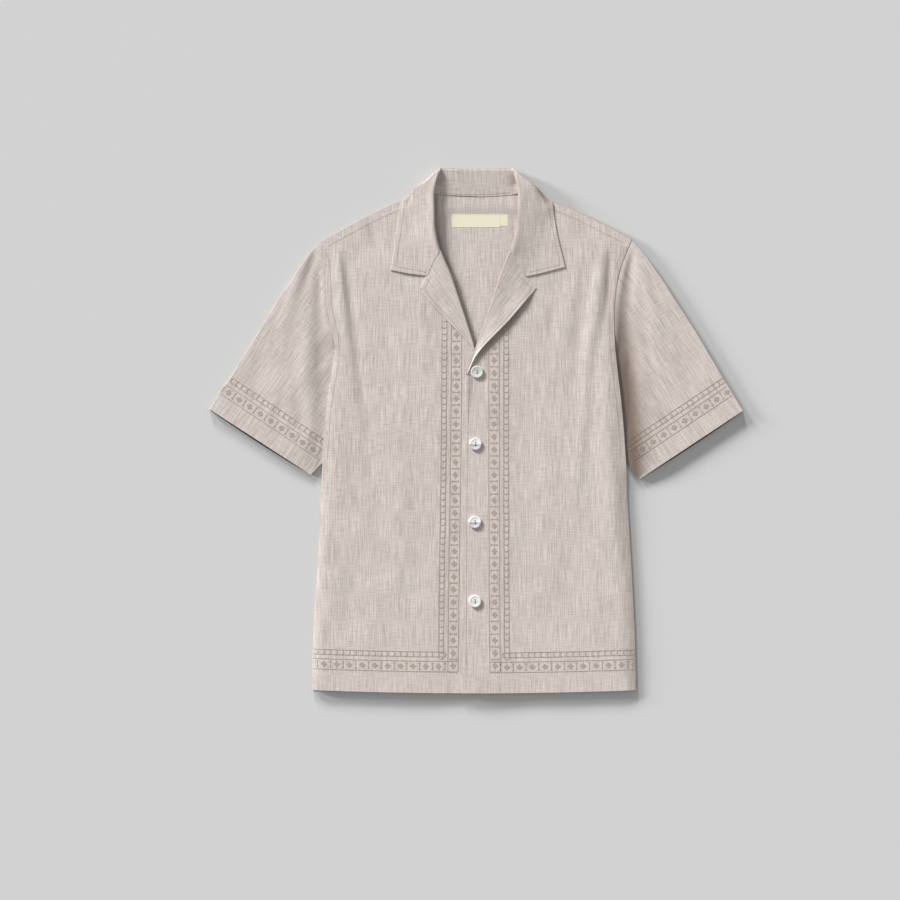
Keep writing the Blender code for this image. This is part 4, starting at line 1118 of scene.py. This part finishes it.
def let_down(name, points, faces, on, material, height):
    """Flat stitching let straight down on a piece of cloth, and given its height upwards.
    Triangles that miss the cloth are left out."""
    faces = upwards(points, faces)
    flat = np.column_stack([points, np.full(len(points), ABOVE_ALL)])
    thing = piece(name + "_flat", flat, faces, material)
    drop = thing.modifiers.new("Drop", "SHRINKWRAP")
    drop.target = on
    drop.wrap_method = "PROJECT"
    drop.use_project_z = True
    drop.use_negative_direction = True
    drop.use_positive_direction = False
    bpy.context.view_layer.update()
    found = points_of(thing.evaluated_get(bpy.context.evaluated_depsgraph_get()).to_mesh())
    bpy.data.objects.remove(thing, do_unlink=True)
    faces = faces[(found[faces, 2] < ABOVE_ALL - 1).all(axis=1)]
    used, faces = np.unique(faces, return_inverse=True)
    stitched = piece(name, found[used], faces.reshape(-1, 3), material, smooth=False)
    solid = stitched.modifiers.new("Height", "SOLIDIFY")
    solid.thickness = height * MM
    solid.offset = 1
    return stitched


def straight(at, start, stop):
    """A fine line along the band, this far across it."""
    run = np.linspace(start, stop, max(2, int(abs(stop - start) / LINE_STEP)))
    return ribbon(np.column_stack([np.full(len(run), at), run]), LINE_WIDTH)


def band(diamonds_from, diamonds, lines_from, links_from, stop):
    """One stretch of border in its own coordinates: across the band, with + towards the links,
    and along it. Diamonds stand at even steps with a bar half way between them, and a link is
    half an ellipse."""
    across, lengthwise = DIAMOND_HALF
    diamond = outline_ring(((across, 0), (0, lengthwise), (-across, 0), (0, -lengthwise)))
    bar = joined([upright_bar(0, BAR_SIZE), upright_bar(-BAR_SIZE[0] / 2, SERIF_SIZE),
                  upright_bar(BAR_SIZE[0] / 2, SERIF_SIZE)])
    steps = diamonds_from + PITCH * np.arange(diamonds)
    low, high = LINKS_AT
    angle = np.linspace(0, math.pi, 9)
    link = ribbon(np.column_stack([(low + high) / 2 + (high - low) / 2 * np.cos(angle),
                                   -LINK_SAG * np.sin(angle)]), LINK_WIDTH)
    return joined([copies(diamond, steps),
                   copies(bar, np.append(steps - PITCH / 2, steps[-1] + PITCH / 2)),
                   copies(link, np.arange(links_from, stop, PITCH / 2)),
                   *[straight(at, lines_from, stop) for at in LINES_AT],
                   *[straight(at, links_from, stop) for at in LINKS_AT]])


border_thread = thread_material("border_thread", THREAD_PALE, THREAD_DARK)

# Middle of the diamonds down each front: height, right x, left x
FRONT_BAND = (
    (-368.0, -32.9, 26.6),
    (-240.0, -32.0, 25.4),
    (-60.0, -29.4, 24.8),
    (116.0, -28.0, 24.8),
    (260.0, -28.0, 24.8),
)
FRONT_DIAMOND_Y = 116.1         # the highest diamond that shows, on both fronts
FRONT_DIAMONDS = 26             # from there down to the hem
UNDER_LAPEL_DIAMONDS = 3        # further up, under the lapel
FRONT_BAND_TOP = 170.0
HEM_BAND_Y = {"right": -330.0, "left": -331.0}
HEM_DIAMOND_X = {"right": -53.0, "left": 42.6}      # the first diamond of the hem
HEM_DIAMONDS = 11


def front_border(side):
    """The band down a front and the band along its hem, which meet at a squared corner."""
    sign, hem_y = SIGN[side], HEM_BAND_Y[side]
    lowest = FRONT_DIAMOND_Y - PITCH * (FRONT_DIAMONDS - 1)
    down, down_faces = band(lowest, FRONT_DIAMONDS + UNDER_LAPEL_DIAMONDS, hem_y - LINES_AT[1],
                            hem_y + LINKS_AT[0], FRONT_BAND_TOP)
    middle = along(FRONT_BAND, down[:, 1])[:, COLUMN[side]]
    down = np.column_stack([middle + sign * down[:, 0], down[:, 1]])
    corner = float(along(FRONT_BAND, hem_y)[COLUMN[side]]) * sign
    first = HEM_DIAMOND_X[side] * sign
    hem, hem_faces = band(first, HEM_DIAMONDS, corner + LINES_AT[0], corner + LINKS_AT[0],
                          first + PITCH * HEM_DIAMONDS)
    x = hem[:, 1] * sign
    hem = np.column_stack([x, hem_y + hem[:, 0] + HEM_LIFT * (x / BODY_HALF) ** 2])
    return joined([(down, down_faces), (hem, hem_faces)])


for worn_side in WORN_SIDES:
    border = let_down(f"border_front_{worn_side}", *front_border(worn_side), fronts[worn_side],
                      border_thread, THREAD_HEIGHT)
    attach(border, "root")

# Border of each sleeve: middle of the first diamond by the outer fold, of the ninth, x and y
SLEEVE_BAND = {"right": ((-346.6, 53.1), (-228.3, -26.2)), "left": ((350.6, 53.6), (230.0, -27.2))}
SLEEVE_DIAMONDS = 9
SLEEVE_LINES_FROM = -9.5        # places along the band, measured from its first diamond
SLEEVE_LINKS_FROM = -4.0
SLEEVE_BAND_BEYOND = 16.0       # past the ninth diamond, into the hollow beside the body


def sleeve_border(side):
    """The band across a sleeve's upper layer, parallel to the cuff, with the links above it."""
    start, stop = np.array(SLEEVE_BAND[side])
    length = np.linalg.norm(stop - start)
    way = (stop - start) / length
    up = np.array([-way[1], way[0]]) * -SIGN[side]
    points, faces = band(0.0, SLEEVE_DIAMONDS, SLEEVE_LINES_FROM, SLEEVE_LINKS_FROM,
                         length + SLEEVE_BAND_BEYOND)
    return start + points[:, :1] * up + points[:, 1:] * way, faces


for worn_side in WORN_SIDES:
    border = let_down(f"border_sleeve_{worn_side}", *sleeve_border(worn_side),
                      sleeves[worn_side], border_thread, THREAD_HEIGHT)
    stitched = points_of(border.data)
    # The border's thread takes the painted shade of the hollow beside the body, as the sleeve does.
    set_painted_shade(border, beside_body(stitched[:, 0], stitched[:, 1], worn_side))
    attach(border, "root")


# Topstitching

# Single rows of lockstitch in the shirt's own thread: inside the edges of the collar and the
# lapels, beside the armholes and the shoulder seams, up the placket and along the neck seam.

STITCH_LENGTH = 2.9
STITCH_GAP = 0.8
STITCH_WIDTH = 0.6
STITCH_HEIGHT = 0.12
SEWING_PALE = (0.46, 0.39, 0.345, 1.0)
SEWING_DARK = (0.34, 0.28, 0.245, 1.0)
ARMHOLE_ROW_Y = (-40, 250)
FROM_ARMHOLE = 7.0
PLACKET_ROW_Y = (-362, 62)
FROM_PLACKET_EDGE = 5.5
SHOULDER_ROW_X = (108, 208)
ABOVE_SHOULDER_SEAM = 2.2
# Rows on the collar, from its notch round the corner of the leaf to the shoulder: x, y
LEAF_ROWS = {
    "right": ((-70.5, 221.0), (-112.8, 229.4), (-108.4, 258.0), (-103.4, 290.0), (-100.5, 313.0)),
    "left": ((74.5, 221.4), (117.3, 231.6), (110.6, 262.0), (104.2, 292.0), (101.0, 313.0)),
}
NECK_ROW = ((-51.0, 333.4), (-26.0, 330.6), (0.0, 329.8), (26.0, 330.6), (51.0, 333.4))
# Rows on the lapels, from the notch round the peak to the tip
LAPEL_STITCHES = {
    "right": ((-65.6, 212.0), (-71.6, 198.8), (-67.6, 189.8), (-38.6, 157.4), (-11.0, 127.0)),
    "left": ((64.0, 212.4), (77.0, 198.8), (71.2, 190.4), (37.0, 151.0), (16.4, 130.0),
             (3.4, 115.4)),
}


def stitched_row(*line):
    """A row of short flat dashes, at even steps along a line of points."""
    line = np.array(line, float)
    run = np.concatenate([[0], np.cumsum(np.linalg.norm(np.diff(line, axis=0), axis=1))])
    starts = np.arange(0, run[-1] - STITCH_LENGTH, STITCH_LENGTH + STITCH_GAP)
    first, last = (np.column_stack([np.interp(at, run, line[:, n]) for n in (0, 1)])
                   for at in (starts, starts + STITCH_LENGTH))
    way = last - first
    way /= np.linalg.norm(way, axis=1, keepdims=True)
    side = np.stack([-way[:, 1], way[:, 0]], axis=1) * STITCH_WIDTH / 2
    points = np.stack([first - side, last - side, last + side, first + side], axis=1)
    corner = np.arange(len(starts))[:, None] * 4
    return points.reshape(-1, 2), np.concatenate([corner + [0, 1, 2], corner + [0, 2, 3]])


def armhole_row(side):
    """A row beside the armhole."""
    y = np.linspace(*ARMHOLE_ROW_Y, 60)
    return stitched_row(*zip(side_x(y, side) - SIGN[side] * FROM_ARMHOLE, y))


def placket_row():
    """A row inside the left front's edge."""
    y = np.linspace(*PLACKET_ROW_Y, 40)
    return stitched_row(*zip(along(FRONT_EDGES, y)[:, COLUMN["left"]] + FROM_PLACKET_EDGE, y))


def shoulder_row(side):
    """A row above the shoulder seam, on the back's strip."""
    x = np.linspace(*SHOULDER_ROW_X, 20)
    y = shoulder_y(x, side) - SHOULDER_STRIP + ABOVE_SHOULDER_SEAM
    return stitched_row(*zip(x * SIGN[side], y))


sewing_thread = thread_material("sewing_thread", SEWING_PALE, SEWING_DARK)
rows_on = {"collar": (collar, [stitched_row(*NECK_ROW)])}
for worn_side in WORN_SIDES:
    rows_on["collar"][1].append(stitched_row(*LEAF_ROWS[worn_side]))
    rows_on[f"lapel_{worn_side}"] = (lapels[worn_side], [stitched_row(*LAPEL_STITCHES[worn_side])])
    rows_on[f"front_{worn_side}"] = (fronts[worn_side], [armhole_row(worn_side)])
rows_on["front_left"][1].append(placket_row())
rows_on["shoulders"] = (back, [shoulder_row(worn_side) for worn_side in WORN_SIDES])
for sewn_to, (panel, rows) in rows_on.items():
    topstitch = let_down(f"topstitch_{sewn_to}", *joined(rows), panel, sewing_thread,
                         STITCH_HEIGHT)
    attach(topstitch, "root")


# Buttons

# Four mother-of-pearl buttons down the placket, turned discs with a dished middle, sewn on
# through two holes with the shirt's own thread.

BUTTON_PLACES = ((1.1, 81.9), (-1.0, -18.9), (-1.7, -128.1), (-1.7, -238.7))
BUTTON_RADIUS = 8.8
BUTTON_THICKNESS = 2.6
DISH_DEPTH = 0.35
HOLE_RADIUS = 1.0
HOLE_SPACING = 4.2
DRILL_LENGTH = 12.0
SHARP_ANGLE = 35            # degrees past which an edge of the disc shows as one
# Profile from the middle of the underside round to the middle of the dish: radius, height
BUTTON_PROFILE = (
    (0.0, 0.0), (5.0, 0.0), (7.9, 0.0), (8.5, 0.25), (8.8, 0.9), (8.8, 1.8), (8.6, 2.25),
    (8.1, 2.5), (7.3, 2.6), (6.6, 2.55), (6.0, 2.4), (5.4, 2.25), (3.0, 2.25), (0.0, 2.25),
)
# Bands of colour across each disc from the lower edge to the upper one: share of the width,
# colour. On the half discs the white upper half is a painted reflection.
SHELL_BANDS = {
    "grey": ((0.0, (0.62, 0.64, 0.60, 1.0)), (0.3, (0.66, 0.68, 0.64, 1.0)),
             (0.6, (0.52, 0.56, 0.52, 1.0)), (1.0, (0.60, 0.63, 0.59, 1.0))),
    "half": ((0.0, (0.66, 0.62, 0.68, 1.0)), (0.27, (0.64, 0.61, 0.66, 1.0)),
             (0.36, (0.38, 0.40, 0.38, 1.0)), (0.46, (0.44, 0.46, 0.44, 1.0)),
             (0.54, (0.97, 0.97, 0.97, 1.0)), (0.82, (0.93, 0.92, 0.95, 1.0)),
             (1.0, (0.62, 0.60, 0.60, 1.0))),
    "white": ((0.0, (0.84, 0.85, 0.81, 1.0)), (0.5, (0.70, 0.73, 0.68, 1.0)),
              (0.7, (0.90, 0.91, 0.88, 1.0)), (1.0, (0.80, 0.81, 0.77, 1.0))),
}
SHELL_OF_BUTTON = ("grey", "half", "half", "white")
SHELL_STREAK = (0.74, 0.76, 0.74, 1.0)
SHELL_STREAKS = (5.0, 1.4, 0.42, 0.9)   # length, width, noise where a streak sets in, where full
STRAND_RADIUS = 0.17
STRANDS_ASIDE = (-0.2, 0.2)     # two strands run side by side from hole to hole
# A strand from one hole to the other: share of the way from the middle, height over the dish
STRAND = ((-1.0, -1.6), (-1.0, -0.2), (-0.8, 0.25), (0.0, 0.42), (0.8, 0.25), (1.0, -0.2),
          (1.0, -1.6))


def pearl(kind):
    """Shell: bands across the disc, a painted reflection on some, fine streaks, and a gloss."""
    material, tree, shader = new_material(f"mother_of_pearl_{kind}", {
        "Roughness": 0.25, "Coat Weight": 0.3, "Coat Roughness": 0.1})
    disc_map = tree.nodes.new("ShaderNodeUVMap")
    disc_map.uv_map = "disc"
    up = tree.nodes.new("ShaderNodeSeparateXYZ")
    tree.links.new(disc_map.outputs["UV"], up.inputs["Vector"])
    bands = tree.nodes.new("ShaderNodeValToRGB")
    stops = SHELL_BANDS[kind]
    while len(bands.color_ramp.elements) < len(stops):
        bands.color_ramp.elements.new(0.5)
    for element, (share, colour) in zip(bands.color_ramp.elements, stops):
        element.position = share
        element.color = colour
    tree.links.new(up.outputs["Y"], bands.inputs["Fac"])
    place = tree.nodes.new("ShaderNodeTexCoord").outputs["Object"]
    streaks = yarns(tree, place, SHELL_STREAKS)
    tree.links.new(mixed(tree, "RGBA", streaks, bands.outputs["Color"], SHELL_STREAK),
                   shader.inputs["Base Color"])
    return material


def drilled_disc():
    """The profile turned round its axis, with two holes cut through it."""
    shape = bmesh.new()
    chain = [shape.verts.new((r * MM, 0, h * MM)) for r, h in BUTTON_PROFILE]
    edges = [shape.edges.new(pair) for pair in zip(chain, chain[1:])]
    bmesh.ops.spin(shape, geom=chain + edges, cent=(0, 0, 0), axis=(0, 0, 1), angle=2 * math.pi,
                   steps=56, use_merge=True)
    bmesh.ops.remove_doubles(shape, verts=shape.verts, dist=1e-6)
    bmesh.ops.recalc_face_normals(shape, faces=shape.faces)
    mesh = bpy.data.meshes.new("disc")
    shape.to_mesh(mesh)
    shape.free()
    disc = bpy.data.objects.new("disc", mesh)
    bpy.context.collection.objects.link(disc)
    drills = []
    for end in (-1, 1):
        bpy.ops.mesh.primitive_cylinder_add(vertices=20, radius=HOLE_RADIUS * MM,
                                            depth=DRILL_LENGTH * MM)
        drill = bpy.context.object
        drill.location = (0, end * HOLE_SPACING / 2 * MM, BUTTON_THICKNESS / 2 * MM)
        cut = disc.modifiers.new("Hole", "BOOLEAN")
        cut.object = drill
        cut.operation = "DIFFERENCE"
        drills.append(drill)
    bpy.context.view_layer.update()
    finished = disc.evaluated_get(bpy.context.evaluated_depsgraph_get())
    drilled = bpy.data.meshes.new_from_object(finished)
    for thing in [disc] + drills:
        bpy.data.objects.remove(thing, do_unlink=True)
    drilled.materials.clear()
    return drilled


def placed_disc(disc, place, material):
    """A copy of the disc with its middle at this place and a map from edge to edge over it."""
    placed = disc.copy()
    spots = points_of(placed)
    corners = np.zeros(len(placed.loops), int)
    placed.loops.foreach_get("vertex_index", corners)
    disc_map = spots[corners, :2] / (2 * BUTTON_RADIUS) + 0.5
    placed.uv_layers.new(name="disc").data.foreach_set("uv", disc_map.reshape(-1))
    placed.vertices.foreach_set("co", ((spots + place) * MM).reshape(-1))
    placed.materials.append(material)
    placed.shade_smooth()
    placed.set_sharp_from_angle(angle=math.radians(SHARP_ANGLE))
    return placed


def tube(line, radius, sides=8):
    """A round strand along a line of points: rings of points square to the line. Both its ends
    stand open, inside the button."""
    way = directions(line)
    side = np.cross(way, (1.0, 0.0, 0.0))
    side /= np.linalg.norm(side, axis=1, keepdims=True)
    up = np.cross(side, way)
    turn = np.linspace(0, 2 * math.pi, sides, endpoint=False)
    rings = line[:, None] + radius * (np.cos(turn)[:, None] * side[:, None]
                                      + np.sin(turn)[:, None] * up[:, None])
    numbers = np.arange(len(line) * sides).reshape(len(line), sides)
    numbers = np.concatenate([numbers, numbers[:, :1]], axis=1)
    return rings.reshape(-1, 3), cells(numbers).reshape(-1, 4)


mother_of_pearl = {kind: pearl(kind) for kind in SHELL_BANDS}
button_disc = drilled_disc()
share_of_way, over_dish = np.array(STRAND).T
for number, (button_x, button_y) in enumerate(BUTTON_PLACES, start=1):
    rest_z = float(front_top(np.array(button_x), np.array(button_y), "left")) + SEAM
    turned = placed_disc(button_disc, np.array([button_x, button_y, rest_z]),
                         mother_of_pearl[SHELL_OF_BUTTON[number - 1]])
    button = bpy.data.objects.new(f"shell_button_{number}", turned)
    bpy.context.collection.objects.link(button)
    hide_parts(f"button_{number}")
    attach(button, "root")
    dish_z = rest_z + BUTTON_THICKNESS - DISH_DEPTH
    strands = [tube(np.column_stack([np.full(len(STRAND), button_x + aside),
                                     button_y + share_of_way * HOLE_SPACING / 2,
                                     dish_z + over_dish]), STRAND_RADIUS)
               for aside in STRANDS_ASIDE]
    sewn = piece(f"button_thread_{number}", *joined(strands), sewing_thread)
    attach(sewn, "root")


# Neck label and size tab

# Two smooth woven slips of cream ribbon, sewn inside the back below the neck seam. Both are
# left bare.

LABEL_WALL = 0.16
LABEL_LIFT = 0.03               # of the slips over the back's inner face
# Middle x, y, width, height
SLIPS = {"label": (-0.4, 293.6, 67.2, 18.3), "size_tab": (38.9, 294.4, 10.6, 16.0)}
CREAM = (0.86, 0.82, 0.62, 1.0)
CREAM_DARK = (0.78, 0.74, 0.54, 1.0)
RIBS = (6.0, 0.5, 0.3, 0.7)     # length, width, noise of the dark end and of the pale one


def ribbon_cloth():
    """Satin ribbon: very fine ribs across it in two close creams."""
    material, tree, shader = new_material("woven_ribbon", {"Roughness": 0.7})
    place = tree.nodes.new("ShaderNodeTexCoord").outputs["Object"]
    ribs = yarns(tree, place, RIBS)
    tree.links.new(mixed(tree, "RGBA", ribs, CREAM_DARK, CREAM), shader.inputs["Base Color"])
    return material


woven_ribbon = ribbon_cloth()
for node, (middle_x, middle_y, width, height) in SLIPS.items():
    slip_x, slip_y = np.meshgrid(middle_x + np.linspace(-width / 2, width / 2, 33),
                                 middle_y + np.linspace(-height / 2, height / 2, 13))
    over = back_lift(slip_x, slip_y) + LINEN_WALL + LABEL_LIFT + LABEL_WALL
    slip = cloth(f"woven_{node}", np.stack([slip_x, slip_y, over], axis=-1), wall=LABEL_WALL)
    slip.data.shade_flat()
    slip.data.materials.clear()
    slip.data.materials.append(woven_ribbon)
    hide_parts(node)
    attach(slip, "root")


# Surface, light and camera

# A plain pale grey studio surface, broad soft light low from the upper left, and the camera
# straight above. The shirt's lamp is apart from the surface's own, whose shadow is softer.

PHOTO_WIDTH = 1260.0            # of the surface that the picture spans
PICTURE_CENTRE = (-36.7, -27.3)
CAMERA_HEIGHT = 4000.0
SENSOR_WIDTH = 36.0
FLOOR_GREY = (0.62, 0.62, 0.62, 1.0)
FLOOR_HALF = 16000.0
UNDER_SHIRT = 0.05              # gap that keeps the surface and the shirt apart
SKY_STRENGTH = 0.40

floor_material = new_material("studio_surface", {
    "Base Color": FLOOR_GREY, "Roughness": 0.9, "Specular IOR Level": 0.1})[0]
floor_corners = np.array(((-1, -1, 0), (1, -1, 0), (1, 1, 0), (-1, 1, 0))) * FLOOR_HALF
floor = piece("studio_floor", floor_corners - np.array([0, 0, UNDER_SHIRT]),
              np.array([(0, 1, 2, 3)]), floor_material)

bpy.context.scene.view_settings.view_transform = "Standard"

world = bpy.data.worlds.new("studio")
bpy.context.scene.world = world
world.use_nodes = True
sky = world.node_tree.nodes["Background"]
sky.inputs["Color"].default_value = (1.0, 1.0, 1.0, 1.0)
sky.inputs["Strength"].default_value = SKY_STRENGTH

# Each light's energy, its angle, its height above the surface and its way round from +X in
# degrees, and whether it falls on the surface or on the shirt
LIGHTS = {
    "cloth_key": (6.2, 14.0, 18.0, 130.0, "EXCLUDE"),
    "surface_key_1": (3.5, 8.0, 11.0, 104.0, "INCLUDE"),
    "surface_key_2": (4.1, 8.0, 9.4, 131.0, "INCLUDE"),
    "surface_key_3": (5.2, 8.0, 7.4, 158.0, "INCLUDE"),
}
for light_name, (energy, angle, height, light_from, on_surface) in LIGHTS.items():
    lamp = bpy.data.lights.new(light_name, "SUN")
    lamp.energy = energy
    lamp.angle = math.radians(angle)
    light = bpy.data.objects.new(light_name, lamp)
    bpy.context.collection.objects.link(light)
    light.rotation_euler = (math.radians(90 - height), 0, math.radians(light_from + 90))
    receivers = bpy.data.collections.new(f"{light_name}_receivers")
    receivers.objects.link(floor)
    receivers.collection_objects[0].light_linking.link_state = on_surface
    light.light_linking.receiver_collection = receivers

camera_data = bpy.data.cameras.new("camera")
camera_data.sensor_width = SENSOR_WIDTH
camera_data.lens = SENSOR_WIDTH * CAMERA_HEIGHT / PHOTO_WIDTH
camera = bpy.data.objects.new("camera", camera_data)
camera.location = (PICTURE_CENTRE[0] * MM, PICTURE_CENTRE[1] * MM, CAMERA_HEIGHT * MM)
bpy.context.collection.objects.link(camera)
bpy.context.scene.camera = camera
